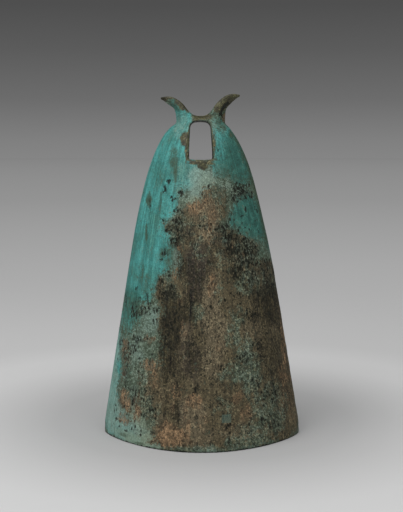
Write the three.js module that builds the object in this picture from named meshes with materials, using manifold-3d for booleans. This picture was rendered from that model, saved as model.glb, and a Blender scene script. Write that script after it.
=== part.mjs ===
// A cast bronze bell with two horns, in millimetres, +Z up.
// The rim of its mouth lies on z = 0. The two wide faces look along -Y and +Y, and the ridges of its
// olive-shaped section run up the two narrow sides. It hangs by a thong through the windows in both faces,
// below the crown.
import * as THREE from 'three';
import { mergeVertices } from 'three/addons/utils/BufferGeometryUtils.js';
import Module from 'manifold-3d';

const wasm = await Module();
wasm.setup();

// Body: the flank is straight up to flankHeight, and the shoulder curves in from there to the flat roof
const mouthHalfWidth = 70;
const mouthHalfDepth = 53;
const flankHeight = 120;
const flankHalfWidth = 50;
const crownHeight = 224.5;
const roofHalfWidth = 9;
const wallThickness = 3;
const roofThickness = 3.4;
const lean = 1; // the crown stands this far off the middle of the mouth, to the left

// Windows, one behind the other, whose heads reach up to the underside of the roof
const windowHeight = 26.5;
const windowSillHalfWidth = 8.8;
const windowHeadHalfWidth = 6.8;
const windowCornerRadius = 1.8;

// Horns, measured from the middle line of the crown
const hornRootOffset = 12.1;
const hornRootHalfWidth = 5.6;
const hornRootHalfDepth = 7;
const rightHornReach = 26.8;
const rightHornRise = 14.3;
const leftHornReach = 26.6;
const leftHornRise = 12.5;
const seatRise = 1.2; // how far the horn's seat stands over the roof, at the horn's middle line

// Tenon under each horn, and the core spacers
const tenonWidth = 5;
const tenonDepth = 7;
const spacerWidth = 6;
const spacerHeight = 5.5;

const fitGap = 0.3; // between two pieces that sit on or in each other
const overrun = 5; // how far a cutting body passes the face that it cuts

// Shapes that follow the sizes above
const ridgeShare = 0.55; // 0 makes an elliptical section, 1 one with sharp edges
const shoulderLowShare = 0.574;
const shoulderOutShare = 0.524;
const shoulderHighShare = 0.928;
const archRiseShare = 0.12;
const hornUprightShare = 0.36;
const hornBendOutShare = 0.32;
const hornBendUpShare = 0.93;
const hornWidthShares = [1, 0.97, 0.88, 0.74, 0.64, 0.55, 0.38, 0.12];
const hornDepthShares = [1, 0.97, 0.86, 0.72, 0.6, 0.5, 0.38, 0.16];
const seatSlopeShare = 0.35; // the seat falls outwards by this much of the distance
// The horn's section, from its inner side to the ridge on its outer side: across, along the depth
const hornSectionShares = [
  [-1, -0.5],
  [-0.82, -0.86],
  [-0.1, -1],
  [0.2, -0.9],
  [1, -0.14],
  [1, 0.14],
  [0.2, 0.9],
  [-0.1, 1],
  [-0.82, 0.86],
  [-1, 0.5],
];
const spacerOffsetShare = 0.26; // of the mouth's half width
const spacerHeightShares = { lower: 0.1, upper: 0.62 }; // of the crown's height

const bodySegments = 72;
const shoulderSegments = 14;
const windowSegments = 5;
const hornSteps = 14;

const patina = new THREE.MeshStandardMaterial({ color: 0x4c8578, roughness: 0.85, metalness: 0.25 });
const hornPatina = new THREE.MeshStandardMaterial({ color: 0x6a6d49, roughness: 0.8, metalness: 0.3 });
const spacerPatina = new THREE.MeshStandardMaterial({ color: 0x5f9489, roughness: 0.85, metalness: 0.25 });

// The solid of a closed geometry, without the triangles that have no area
function solidOf(geometry) {
  const bare = geometry.clone();
  bare.deleteAttribute('normal');
  bare.deleteAttribute('uv');
  const merged = mergeVertices(bare);
  const corners = merged.index.array;
  const kept = [];
  for (let i = 0; i < corners.length; i += 3) {
    const [a, b, c] = corners.slice(i, i + 3);
    if (a !== b && b !== c && c !== a) {
      kept.push(a, b, c);
    }
  }
  const vertProperties = new Float32Array(merged.getAttribute('position').array);
  return new wasm.Manifold(new wasm.Mesh({ numProp: 3, vertProperties, triVerts: new Uint32Array(kept) }));
}

function geometryOf(solid) {
  const mesh = solid.getMesh();
  const geometry = new THREE.BufferGeometry();
  geometry.setAttribute('position', new THREE.Float32BufferAttribute(mesh.vertProperties, 3));
  geometry.setIndex(new THREE.Uint32BufferAttribute(mesh.triVerts, 1));
  return geometry;
}

// Moves every point of a geometry to where place(x, y, z) says
function reshape(geometry, place) {
  const position = geometry.getAttribute('position');
  for (let i = 0; i < position.count; i += 1) {
    const [x, y, z] = place(position.getX(i), position.getY(i), position.getZ(i));
    position.setXYZ(i, x, y, z);
  }
  return geometry;
}

function box(width, depth, height, x, y, z) {
  return solidOf(new THREE.BoxGeometry(width, depth, height).translate(x, y, z));
}

// The outside of the body, from the rim to the edge of the roof, as half widths and heights
function bodyOutline() {
  const rise = crownHeight - flankHeight;
  const lowHeight = flankHeight + rise * shoulderLowShare;
  const lowHalfWidth = mouthHalfWidth - ((mouthHalfWidth - flankHalfWidth) * lowHeight) / flankHeight;
  const outline = new THREE.Path();
  outline.moveTo(mouthHalfWidth, 0);
  outline.lineTo(flankHalfWidth, flankHeight);
  outline.bezierCurveTo(
    lowHalfWidth,
    lowHeight,
    roofHalfWidth + (flankHalfWidth - roofHalfWidth) * shoulderOutShare,
    flankHeight + rise * shoulderHighShare,
    roofHalfWidth,
    crownHeight,
  );
  return outline.getPoints(shoulderSegments);
}

// The same outline, a wall thickness further in, up to the underside of the roof
function hollowOutline() {
  const outside = bodyOutline();
  const ceiling = crownHeight - roofThickness;
  const inside = outside.map((point, i) => {
    const before = outside[Math.max(i - 1, 0)];
    const after = outside[Math.min(i + 1, outside.length - 1)];
    const along = after.clone().sub(before).normalize();
    return new THREE.Vector2(point.x - along.y * wallThickness, point.y + along.x * wallThickness);
  });
  const below = inside.filter((point) => point.y > 0 && point.y < ceiling);
  const last = below[below.length - 1];
  const next = inside[inside.indexOf(last) + 1];
  const part = (ceiling - last.y) / (next.y - last.y);
  const mouth = new THREE.Vector2(mouthHalfWidth - wallThickness, 0);
  const slope = below[0].clone().sub(mouth).normalize();
  const outsideMouth = mouth.clone().sub(slope.multiplyScalar(overrun));
  return [outsideMouth, ...below, last.clone().lerp(next, part)];
}

// A body of revolution over the outline, drawn in to the olive section
function oliveBody(outline, depthRatio) {
  const bottom = new THREE.Vector2(0, outline[0].y);
  const top = new THREE.Vector2(0, outline[outline.length - 1].y);
  const turned = new THREE.LatheGeometry([bottom, ...outline, top], bodySegments);
  turned.rotateX(Math.PI / 2);
  return solidOf(
    reshape(turned, (x, y, z) => {
      const radius = Math.hypot(x, y);
      const turn = radius > 0 ? y / radius : 0;
      const fullness = turn * (1 - ridgeShare + ridgeShare * Math.abs(turn));
      return [x, radius * depthRatio * fullness, z];
    }),
  );
}

function windowCutter() {
  const head = crownHeight - roofThickness;
  const sill = head - windowHeight;
  const spring = head - windowHeight * archRiseShare;
  const wide = windowSillHalfWidth;
  const narrow = windowHeadHalfWidth;
  const r = windowCornerRadius;
  const outline = new THREE.Shape();
  outline.moveTo(-wide + r, sill);
  outline.lineTo(wide - r, sill);
  outline.quadraticCurveTo(wide, sill, wide, sill + r);
  outline.lineTo(narrow, spring);
  outline.quadraticCurveTo(narrow, head, 0, head);
  outline.quadraticCurveTo(-narrow, head, -narrow, spring);
  outline.lineTo(-wide, sill + r);
  outline.quadraticCurveTo(-wide, sill, -wide + r, sill);
  const depth = 2 * (mouthHalfDepth + overrun);
  const settings = { depth, curveSegments: windowSegments, bevelEnabled: false };
  const cutter = new THREE.ExtrudeGeometry(outline, settings);
  return solidOf(cutter.rotateX(Math.PI / 2).translate(0, depth / 2, 0));
}

// A horn from inside the crown to its tip. Its section is drawn once, and bent along the horn's middle line.
function hornBlank(side, reach, rise) {
  const middleLine = new THREE.CubicBezierCurve(
    new THREE.Vector2(hornRootOffset, crownHeight - hornRootHalfWidth),
    new THREE.Vector2(hornRootOffset, crownHeight + rise * hornUprightShare),
    new THREE.Vector2(
      hornRootOffset + (reach - hornRootOffset) * hornBendOutShare,
      crownHeight + rise * hornBendUpShare,
    ),
    new THREE.Vector2(reach, crownHeight + rise),
  );
  const toSpline = (shares) =>
    new THREE.SplineCurve(shares.map((share, i) => new THREE.Vector2(i / (shares.length - 1), share)));
  const widths = toSpline(hornWidthShares);
  const depths = toSpline(hornDepthShares);
  const section = new THREE.Shape(hornSectionShares.map(([across, deep]) => new THREE.Vector2(across, deep)));
  const straight = new THREE.ExtrudeGeometry(section, { depth: 1, steps: hornSteps, bevelEnabled: false });
  return solidOf(
    reshape(straight, (across, deep, along) => {
      const middle = middleLine.getPoint(along);
      const heading = middleLine.getTangent(along);
      const halfWidth = hornRootHalfWidth * widths.getPoint(along).y;
      const halfDepth = hornRootHalfDepth * depths.getPoint(along).y;
      return [
        side * (middle.x + heading.y * across * halfWidth),
        side * deep * halfDepth,
        middle.y - heading.x * across * halfWidth,
      ];
    }),
  );
}

// Everything on or under the sloping seat of a horn, raised by lift
function belowSeat(side, lift) {
  const size = 2 * crownHeight;
  const block = new THREE.BoxGeometry(size, size, size).translate(0, 0, -size / 2);
  block.rotateY(side * Math.atan(seatSlopeShare));
  block.translate(side * hornRootOffset, 0, crownHeight + seatRise + lift);
  return solidOf(block);
}

// A post through the roof under a horn, from inside the hollow to the middle of the horn's root
function tenonBlank(side, clearance) {
  const height = 2 * (roofThickness + hornRootHalfWidth);
  const top = crownHeight + hornRootHalfWidth;
  return box(
    tenonWidth + 2 * clearance,
    tenonDepth + 2 * clearance,
    height,
    side * hornRootOffset,
    0,
    top - height / 2,
  );
}

function horn(side, reach, rise, hollow) {
  const aboveSeat = hornBlank(side, reach, rise).subtract(belowSeat(side, fitGap));
  return aboveSeat.add(tenonBlank(side, 0)).subtract(hollow);
}

// The lump on the crown that a horn stands on, flush with the horn's root
function hornPad(side, reach, rise) {
  return hornBlank(side, reach, rise).intersect(belowSeat(side, 0));
}

function spacerBlank(face, side, level, clearance) {
  const depth = mouthHalfDepth + overrun;
  return box(
    spacerWidth + 2 * clearance,
    depth,
    spacerHeight + 2 * clearance,
    side * mouthHalfWidth * spacerOffsetShare,
    (face * depth) / 2,
    crownHeight * spacerHeightShares[level],
  );
}

const faces = { front: -1, back: 1 };
const sides = { left: -1, right: 1 };
const horns = {
  left: { reach: leftHornReach, rise: leftHornRise },
  right: { reach: rightHornReach, rise: rightHornRise },
};

const bell = new THREE.Group();

// Every piece leans over with the crown, by an amount that grows with its height
function addPiece(name, solid, material) {
  const geometry = reshape(geometryOf(solid), (x, y, z) => [x - (lean * z) / crownHeight, y, z]);
  const mesh = new THREE.Mesh(geometry, material);
  mesh.name = name;
  bell.add(mesh);
}

const hollowDepthRatio = (mouthHalfDepth - wallThickness) / (mouthHalfWidth - wallThickness);
const hollow = oliveBody(hollowOutline(), hollowDepthRatio);
const shell = oliveBody(bodyOutline(), mouthHalfDepth / mouthHalfWidth).subtract(hollow);

let wall = shell;
for (const [sideName, { reach, rise }] of Object.entries(horns)) {
  const side = sides[sideName];
  wall = wall.add(hornPad(side, reach, rise).subtract(hollow)).subtract(tenonBlank(side, fitGap));
  addPiece(`${sideName}_horn`, horn(side, reach, rise, hollow), hornPatina);
}
wall = wall.subtract(windowCutter());

for (const [faceName, face] of Object.entries(faces)) {
  for (const level of Object.keys(spacerHeightShares)) {
    for (const [sideName, side] of Object.entries(sides)) {
      const spacer = shell.intersect(spacerBlank(face, side, level, 0));
      wall = wall.subtract(spacerBlank(face, side, level, fitGap));
      addPiece(`spacer_${faceName}_${level}_${sideName}`, spacer, spacerPatina);
    }
  }
}
addPiece('bell_wall', wall, patina);

export default bell;
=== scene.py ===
"""The looks of a cast bronze bell with two horns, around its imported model.

Lengths are in millimetres until a mesh is made, and the mesh is in metres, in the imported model's frame.
"""
import math

import bmesh
import bpy
import numpy as np
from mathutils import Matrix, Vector


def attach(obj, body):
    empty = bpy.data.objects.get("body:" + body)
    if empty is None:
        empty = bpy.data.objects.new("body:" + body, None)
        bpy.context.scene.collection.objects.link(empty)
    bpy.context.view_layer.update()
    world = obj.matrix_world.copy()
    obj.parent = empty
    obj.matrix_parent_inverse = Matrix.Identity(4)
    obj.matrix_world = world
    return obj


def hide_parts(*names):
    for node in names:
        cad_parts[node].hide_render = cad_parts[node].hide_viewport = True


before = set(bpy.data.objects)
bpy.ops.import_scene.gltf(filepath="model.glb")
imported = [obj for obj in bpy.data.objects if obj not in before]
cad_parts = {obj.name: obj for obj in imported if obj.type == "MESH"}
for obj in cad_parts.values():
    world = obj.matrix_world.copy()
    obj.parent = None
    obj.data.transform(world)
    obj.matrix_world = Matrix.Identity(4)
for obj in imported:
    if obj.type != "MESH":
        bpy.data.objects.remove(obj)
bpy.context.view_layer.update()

MM = 0.001

# Body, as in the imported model
MOUTH_HALF_WIDTH = 70.0
MOUTH_HALF_DEPTH = 53.0
FLANK_HEIGHT = 120.0
FLANK_HALF_WIDTH = 50.0
CROWN_HEIGHT = 224.5
ROOF_HALF_WIDTH = 9.0
WALL = 3.0
ROOF = 3.4
LEAN = 1.0
RIDGE_SHARE = 0.55
SHOULDER_LOW_SHARE = 0.574
SHOULDER_OUT_SHARE = 0.524
SHOULDER_HIGH_SHARE = 0.928
DEPTH_RATIO = MOUTH_HALF_DEPTH / MOUTH_HALF_WIDTH
HOLLOW_DEPTH_RATIO = (MOUTH_HALF_DEPTH - WALL) / (MOUTH_HALF_WIDTH - WALL)

# Windows
WINDOW_HEIGHT = 26.5
WINDOW_SILL_HALF_WIDTH = 8.8
WINDOW_HEAD_HALF_WIDTH = 6.8
WINDOW_HEAD = CROWN_HEIGHT - ROOF
WINDOW_SILL = WINDOW_HEAD - WINDOW_HEIGHT
# The back window was cut a little lower and to the left, so the way through them isn't square
WINDOW_SKEW = 0.03
HEAD_DROP = 0.03
SILL_DROP = 0.022
SILL_SHIFT = -0.9
SILL_SWAY = 0.2
SIDE_BULGE = 0.6
SILL_SAG = 0.6
WINDOW_ARCH_RADIUS = 24.0

# Horns
HORN_ROOT_OFFSET = 12.1
HORN_ROOT_HALF_WIDTH = 5.6
HORN_ROOT_HALF_DEPTH = 7.0
HORN_UPRIGHT_SHARE = 0.36
HORN_BEND_OUT_SHARE = 0.32
HORN_BEND_UP_SHARE = 0.93
HORN_WIDTH_SHARES = (1, 0.97, 0.88, 0.74, 0.64, 0.55, 0.38, 0.12)
HORN_DEPTH_SHARES = (1, 0.97, 0.86, 0.72, 0.6, 0.5, 0.38, 0.16)
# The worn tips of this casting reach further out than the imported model's
TIP_EXTRA = 0.7
HORNS = {
    "left": {"side": -1, "reach": 26.6 + TIP_EXTRA, "rise": 12.5},
    "right": {"side": 1, "reach": 26.8 + TIP_EXTRA, "rise": 14.3},
}
# The slope down to the horn's outer ridge, as shares of its half width and half depth
FACET_RUN_SHARE = 0.85
FACET_FALL_SHARE = 0.88
FACET_EDGE_SHARE = 0.12
SEAT_RISE = 1.2
SEAT_SLOPE_SHARE = 0.35
TENON_WIDTH = 5.0
TENON_DEPTH = 7.0
TENON_OVERRUN = 10.0
# The block over a horn's seat that it is cut out with
TOOL_NEAR = 3.0
TOOL_FAR = 45.0
TOOL_RISE = 40.0
TOOL_HALF_DEPTH = 40.0
# The box that a horn is meshed in, with room over the crown
HORN_BOX_NEAR = 2.0
HORN_BOX_FAR = 33.0
HORN_BOX_HALF_DEPTH = 15.0
HORN_BOX_DROP = 12.0
HORN_ROOM = 20.0

# Core spacers
SPACER_WIDTH = 6.0
SPACER_HEIGHT = 5.5
SPACER_OFFSET = 0.26 * MOUTH_HALF_WIDTH
SPACER_LEVELS = {"lower": 0.1 * CROWN_HEIGHT, "upper": 0.62 * CROWN_HEIGHT}
FACES = {"front": -1, "back": 1}
SIDES = {"left": -1, "right": 1}
# The block that a spacer is cut out with, and where the box it is meshed in begins
SPACER_TOOL_HALF_DEPTH = 30.0
SPACER_TOOL_MIDDLE = 32.0
SPACER_BOX_NEAR = 12.0

# Roundings and seams
WINDOW_ROUNDING = 1.3
WINDOW_HEAD_CORNER = 3.6
WINDOW_SILL_CORNER = 1.6
RIM_ROUNDING = 0.35
ROOF_ROUNDING = 3.0
HORN_INNER_FILLET = 6.0
HORN_OUTER_FILLET = 1.2
INNER_FILLET_TO = 9.0
OUTER_FILLET_FROM = 15.0
HORN_ROUNDING = 0.2
HORN_ROUNDING_SHARE = 0.4
FACET_ROUNDING_SHARE = 0.25
RIDGE_ROUNDING_SHARE = 0.3
TIP_ROUNDING = 0.4
SEAM_GAP = 0.12
SHARP_ANGLE = 58.0

# Relief that sinks into the skin, and the seam that stands on it
WAVE = 0.16
CRUST_SINK = 0.34
CRUST_LEVEL = 0.62
PIT_DEPTH = 0.45
NICK_DEPTH = 0.18
SEAM_RISE = 0.22
SEAM_HALF_WIDTH = 0.8

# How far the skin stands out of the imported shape, and the places that are slimmer
PROUD = 1.2
RIGHT_SHOULDER_SLIM = 1.15
RIGHT_SHOULDER_ACROSS = (4.0, 24.0)
RIGHT_SHOULDER_HEIGHTS = (118.0, 166.0)
HORN_PROUD = 0.35
HORN_PROUD_HEIGHTS = (CROWN_HEIGHT - 14, CROWN_HEIGHT - 2)
ROOF_PROUD = 0.4
ROOF_PROUD_HEIGHTS = (CROWN_HEIGHT - 2, CROWN_HEIGHT)
NECK_SLIM = {"left": 1.2, "right": 0.7}
NECK_HEIGHTS = (217.0, 222.0, 229.0, 234.0)
NECK_ACROSS = (13.0, 16.0)
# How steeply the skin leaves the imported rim, and how much more so where it faces the sides
RIM_FLAT = 0.3
RIM_SLOPE = 0.122
RIM_SIDE_SLOPE = 0.04
# The relief is calmer on the horns between these heights, and near the rim
HORN_CALM_HEIGHTS = (CROWN_HEIGHT, CROWN_HEIGHT + 4, CROWN_HEIGHT + 8, CROWN_HEIGHT + 12)
HORN_CALM = 0.5
RIM_CALM = 0.7
RIM_CALM_HEIGHTS = (0.5, 5.0)

# Noises of the relief, as (size, seed, octaves) or (size, seed)
WAVES = (34, 3, 2)
ROUGHNESS = (6.5, 60, 3)
LUMPS = (2.6, 64)
PITTING = (2.1, 70)
SEAM_WAVES = (9, 75)
HOLLOW_WAVES = (9, 80, 3)
NICKS = (5, 90)

# How the edges of the stains wander, across and up: the noises and how far they reach
WANDER_NOISES = ((11, 20, 4), (11, 21, 4))
WANDER_REACH = (2.6, 3.4)
CLOSE_NOISES = ((2.4, 40), (2.4, 41))
CLOSE_REACH = 0.7
# The stains that keep closer to their places, and the shares of the wander that they take
TIGHT_STAINS = ("pits_and_shade", "wear_and_shade", "olive")
TIGHT_WANDER = 0.25
TIGHT_CLOSE = 0.6
# Where a spot is full and where it is gone, against its size
SPOT_FULL = 0.55
SPOT_GONE = 1.45
# Half the width over which the front's stains turn into the back's, on the body and on the crown
FACE_TURN = 6.0
CROWN_FACE_TURN = 1.5
CROWN_TURN_FROM = 216.0
CROWN_TURN_TO = 226.0
# The heights between which the horns' wear begins
HORN_WEAR_HEIGHTS = (224.0, 229.0)
# The windows' rounded edges, worn and darkened with painted shade: its strength, and how near to it the paint
# is full and gone
WINDOW_SHADE_AND_WEAR = 0.7
WINDOW_SHADE_AND_WEAR_REACH = (0.3, 1.3)
WINDOW_SHADE_AND_WEAR_HEIGHTS = (WINDOW_HEAD - 3, WINDOW_HEAD + 1)
# The heights at which the painted contact shadow along the rim's foot is full and gone, and the depths where
# the hollow begins
RIM_SHADOW_HEIGHTS = (0.5, 1.3)
HOLLOW_DEPTHS = (0.8, 2.2)
HOLLOW_HEIGHTS = (WINDOW_HEAD + 0.9, WINDOW_HEAD + 4.9)

# Meshing
STEP = 1.25
LOCAL_STEP = 0.5
CROWN_FROM = 188.0
RIM_TO = 2.6
INNER_SHARE = 0.28
MARGIN = 3.0

# How far the grey green border reaches out of the crust, at its outer and its inner edge
BORDER = 7.0
INNER_BORDER = 0.4 * BORDER

# The heights where the rubbed band on the right ridge begins, is full, wanes and ends, and its width
RIDGE_BAND_HEIGHTS = (128.0, 140.0, 212.0, 217.0)
RIDGE_BAND = 5.0


def ramp(value, low, high):
    """A smooth step from 0 at low to 1 at high."""
    t = np.clip((value - low) / (high - low), 0, 1)
    return t * t * (3 - 2 * t)


def fade(value, full, none):
    """A smooth step from 1 at full to 0 at none."""
    return ramp(-value, -none, -full)


def between(value, low, low_full, high_full, high):
    """1 from low_full to high_full, with a smooth fall to 0 at low and at high."""
    return ramp(value, low, low_full) * fade(value, high_full, high)


def smooth_max(a, b, width):
    """The larger of a and b, with the edge between them rounded over width."""
    h = np.maximum(width - np.abs(a - b), 0) / width
    return np.maximum(a, b) + h * h * width / 4


def smooth_min(a, b, width):
    return -smooth_max(-a, -b, width)


def bezier(corners, t):
    """Points of the curve over four corners, at t from 0 to 1."""
    s = 1 - t
    return s ** 3 * corners[0] + 3 * s * s * t * corners[1] + 3 * s * t * t * corners[2] + t ** 3 * corners[3]


def shoulder_curve(count=400):
    """Half widths and heights of the body's outline, from the rim to the edge of the roof."""
    rise = CROWN_HEIGHT - FLANK_HEIGHT
    slope = (FLANK_HALF_WIDTH - MOUTH_HALF_WIDTH) / FLANK_HEIGHT
    low_height = FLANK_HEIGHT + rise * SHOULDER_LOW_SHARE
    out = ROOF_HALF_WIDTH + (FLANK_HALF_WIDTH - ROOF_HALF_WIDTH) * SHOULDER_OUT_SHARE
    corners = np.array([
        (FLANK_HALF_WIDTH, FLANK_HEIGHT),
        (MOUTH_HALF_WIDTH + slope * low_height, low_height),
        (out, FLANK_HEIGHT + rise * SHOULDER_HIGH_SHARE),
        (ROOF_HALF_WIDTH, CROWN_HEIGHT),
    ])
    below = np.linspace(-2 * MARGIN, FLANK_HEIGHT, count)[:-1]
    flank = np.stack([MOUTH_HALF_WIDTH + slope * below, below], 1)
    return np.concatenate([flank, bezier(corners, np.linspace(0, 1, count)[:, None])])


OUTLINE = shoulder_curve()


def inner_outline():
    """The outline a wall thickness further in."""
    along = np.gradient(OUTLINE, axis=0)
    along /= np.linalg.norm(along, axis=1)[:, None]
    return OUTLINE + WALL * np.stack([-along[:, 1], along[:, 0]], 1)


INNER_OUTLINE = inner_outline()


def olive_table(count=2000):
    """How far an olive section reaches at each angle, against an ellipse of its width and depth."""
    turn = np.linspace(0, math.pi / 2, count)
    across = np.cos(turn)
    deep = (1 - RIDGE_SHARE) * np.sin(turn) + RIDGE_SHARE * np.sin(turn) ** 2
    return np.arctan2(deep, across), np.hypot(across, deep)


OLIVE_ANGLES, OLIVE_REACH = olive_table()


def olive_radius(x, y, ratio):
    """The half width of the olive section that passes through x, y."""
    angle = np.arctan2(np.abs(y) / ratio, np.abs(x))
    return np.hypot(x, y / ratio) / np.interp(angle, OLIVE_ANGLES, OLIVE_REACH)


def half_width_at(z, outline):
    """Half the width between the ridges at a height."""
    return np.interp(z, outline[:, 1], outline[:, 0])


def olive_distance(p, outline, ratio, nudge=0.05):
    """About the distance out of the olive body over the outline, without its top and bottom."""
    x, y, z = p
    beyond = olive_radius(x, y, ratio) - half_width_at(z, outline)
    gx = olive_radius(x + nudge, y, ratio) - olive_radius(x - nudge, y, ratio)
    gy = olive_radius(x, y + nudge, ratio) - olive_radius(x, y - nudge, ratio)
    gz = half_width_at(z + nudge, outline) - half_width_at(z - nudge, outline)
    return beyond * 2 * nudge / np.sqrt(gx * gx + gy * gy + gz * gz)


def spline(shares, t):
    """A smooth curve through evenly spaced shares, at t from 0 to 1."""
    shares = np.asarray(shares, float)
    last = len(shares) - 1
    p = np.clip(t, 0, 1) * last
    k = np.minimum(p.astype(int), last - 1)
    w = p - k
    p0, p1, p2, p3 = shares[np.maximum(k - 1, 0)], shares[k], shares[k + 1], shares[np.minimum(k + 2, last)]
    v0, v1 = (p2 - p0) / 2, (p3 - p1) / 2
    return (2 * p1 - 2 * p2 + v0 + v1) * w ** 3 + (-3 * p1 + 3 * p2 - 2 * v0 - v1) * w ** 2 + v0 * w + p1


def horn_line(horn, count=72):
    """The horn's middle line on its own side, as points and the steps between them."""
    out = horn["reach"] - HORN_ROOT_OFFSET
    corners = np.array([
        (HORN_ROOT_OFFSET, CROWN_HEIGHT - HORN_ROOT_HALF_WIDTH),
        (HORN_ROOT_OFFSET, CROWN_HEIGHT + horn["rise"] * HORN_UPRIGHT_SHARE),
        (HORN_ROOT_OFFSET + out * HORN_BEND_OUT_SHARE, CROWN_HEIGHT + horn["rise"] * HORN_BEND_UP_SHARE),
        (horn["reach"], CROWN_HEIGHT + horn["rise"]),
    ])
    t = np.linspace(0, 1, count)[:, None]
    first, second, third = np.diff(corners, axis=0)
    pace = 3 * ((1 - t) ** 2 * first + 2 * (1 - t) * t * second + t * t * third)
    return bezier(corners, t), pace


def horn_distance(p, horn):
    """About the distance out of a horn: flat faces front and back, and a ridge along its outer side."""
    points, pace = horn_line(horn)
    x, y, z = p[0] * horn["side"], np.abs(p[1]), p[2]
    nearest = ((x[..., None] - points[:, 0]) ** 2 + (z[..., None] - points[:, 1]) ** 2).argmin(-1)
    middle, step = points[nearest], pace[nearest]
    speed = np.hypot(step[..., 0], step[..., 1])
    hx, hz = step[..., 0] / speed, step[..., 1] / speed
    dx, dz = x - middle[..., 0], z - middle[..., 1]
    ahead = dx * hx + dz * hz
    across = dx * hz - dz * hx
    t = nearest / (len(points) - 1) + ahead / speed
    half_width = HORN_ROOT_HALF_WIDTH * spline(HORN_WIDTH_SHARES, t)
    half_depth = HORN_ROOT_HALF_DEPTH * spline(HORN_DEPTH_SHARES, t)
    run, fall = FACET_RUN_SHARE * half_width, FACET_FALL_SHARE * half_depth
    facet = (across - half_width) * fall + (y - FACET_EDGE_SHARE * half_depth) * run
    rounding = HORN_ROUNDING_SHARE * half_width + HORN_ROUNDING
    shape = smooth_max(-across - half_width, y - half_depth, rounding)
    shape = smooth_max(shape, facet / np.hypot(run, fall), FACET_ROUNDING_SHARE * rounding)
    shape = smooth_max(shape, across - half_width, RIDGE_ROUNDING_SHARE * rounding)
    beyond = np.where(nearest == len(points) - 1, ahead, -MARGIN)
    return smooth_max(shape, beyond, TIP_ROUNDING)


def window_distance(p):
    """About the distance out of the windows' outline, which goes right through."""
    z = p[2]
    x = np.abs(p[0] + WINDOW_SKEW * p[1] - SILL_SWAY * (WINDOW_HEAD - z) / WINDOW_HEIGHT)
    taper = (WINDOW_SILL_HALF_WIDTH - WINDOW_HEAD_HALF_WIDTH) / WINDOW_HEIGHT
    rise = np.clip((z - WINDOW_SILL) / WINDOW_HEIGHT, 0, 1)
    side = x - (WINDOW_SILL_HALF_WIDTH - taper * (z - WINDOW_SILL)) - SIDE_BULGE * 4 * rise * (1 - rise)
    sag = SILL_SAG * np.clip(1 - (x / WINDOW_SILL_HALF_WIDTH) ** 2, 0, 1)
    sill = WINDOW_SILL + SILL_SHIFT + SILL_SAG - sag - SILL_DROP * p[1]
    head = WINDOW_HEAD - HEAD_DROP * p[1]
    arch = np.hypot(x, z - (head - WINDOW_ARCH_RADIUS)) - WINDOW_ARCH_RADIUS
    upper = smooth_max(side, arch, WINDOW_HEAD_CORNER)
    lower = smooth_max(side, sill - z, WINDOW_SILL_CORNER)
    return np.where(z > (WINDOW_SILL + WINDOW_HEAD) / 2, upper, lower)


def bell_distance(p):
    """About the distance out of the bell's metal, without its lean: below zero inside the metal."""
    z = p[2]
    body = smooth_max(olive_distance(p, OUTLINE, DEPTH_RATIO), z - CROWN_HEIGHT, ROOF_ROUNDING)
    crown = z > CROWN_HEIGHT - 3 * HORN_ROOT_HALF_WIDTH
    if crown.any():
        top = tuple(c[crown] for c in p)
        joined = body[crown]
        inner = fade(np.abs(top[0]), INNER_FILLET_TO, OUTER_FILLET_FROM)
        fillet = HORN_OUTER_FILLET + (HORN_INNER_FILLET - HORN_OUTER_FILLET) * inner
        for horn in HORNS.values():
            joined = smooth_min(joined, horn_distance(top, horn), fillet)
        body[crown] = joined
    hollow = smooth_max(olive_distance(p, INNER_OUTLINE, HOLLOW_DEPTH_RATIO), z - WINDOW_HEAD, ROOF_ROUNDING)
    metal = smooth_max(body, -hollow, RIM_ROUNDING)
    metal = smooth_max(metal, -window_distance(p), WINDOW_ROUNDING)
    return smooth_max(metal, -z, RIM_ROUNDING)


def steepness(function, points, nudge=0.02):
    """The gradient of a distance function at points, by small steps."""
    out = np.empty_like(points)
    for axis in range(3):
        step = np.zeros(3)
        step[axis] = nudge
        out[:, axis] = function((points + step).T) - function((points - step).T)
    return out / (2 * nudge)


def settle(function, points, rounds=3):
    """Moves points onto the zero of a distance function."""
    for _ in range(rounds):
        slope = steepness(function, points)
        size = np.maximum((slope * slope).sum(1), 0.05)
        move = (function(points.T) / size)[:, None] * slope
        points = points - np.clip(move, -1, 1)
    return points


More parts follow.
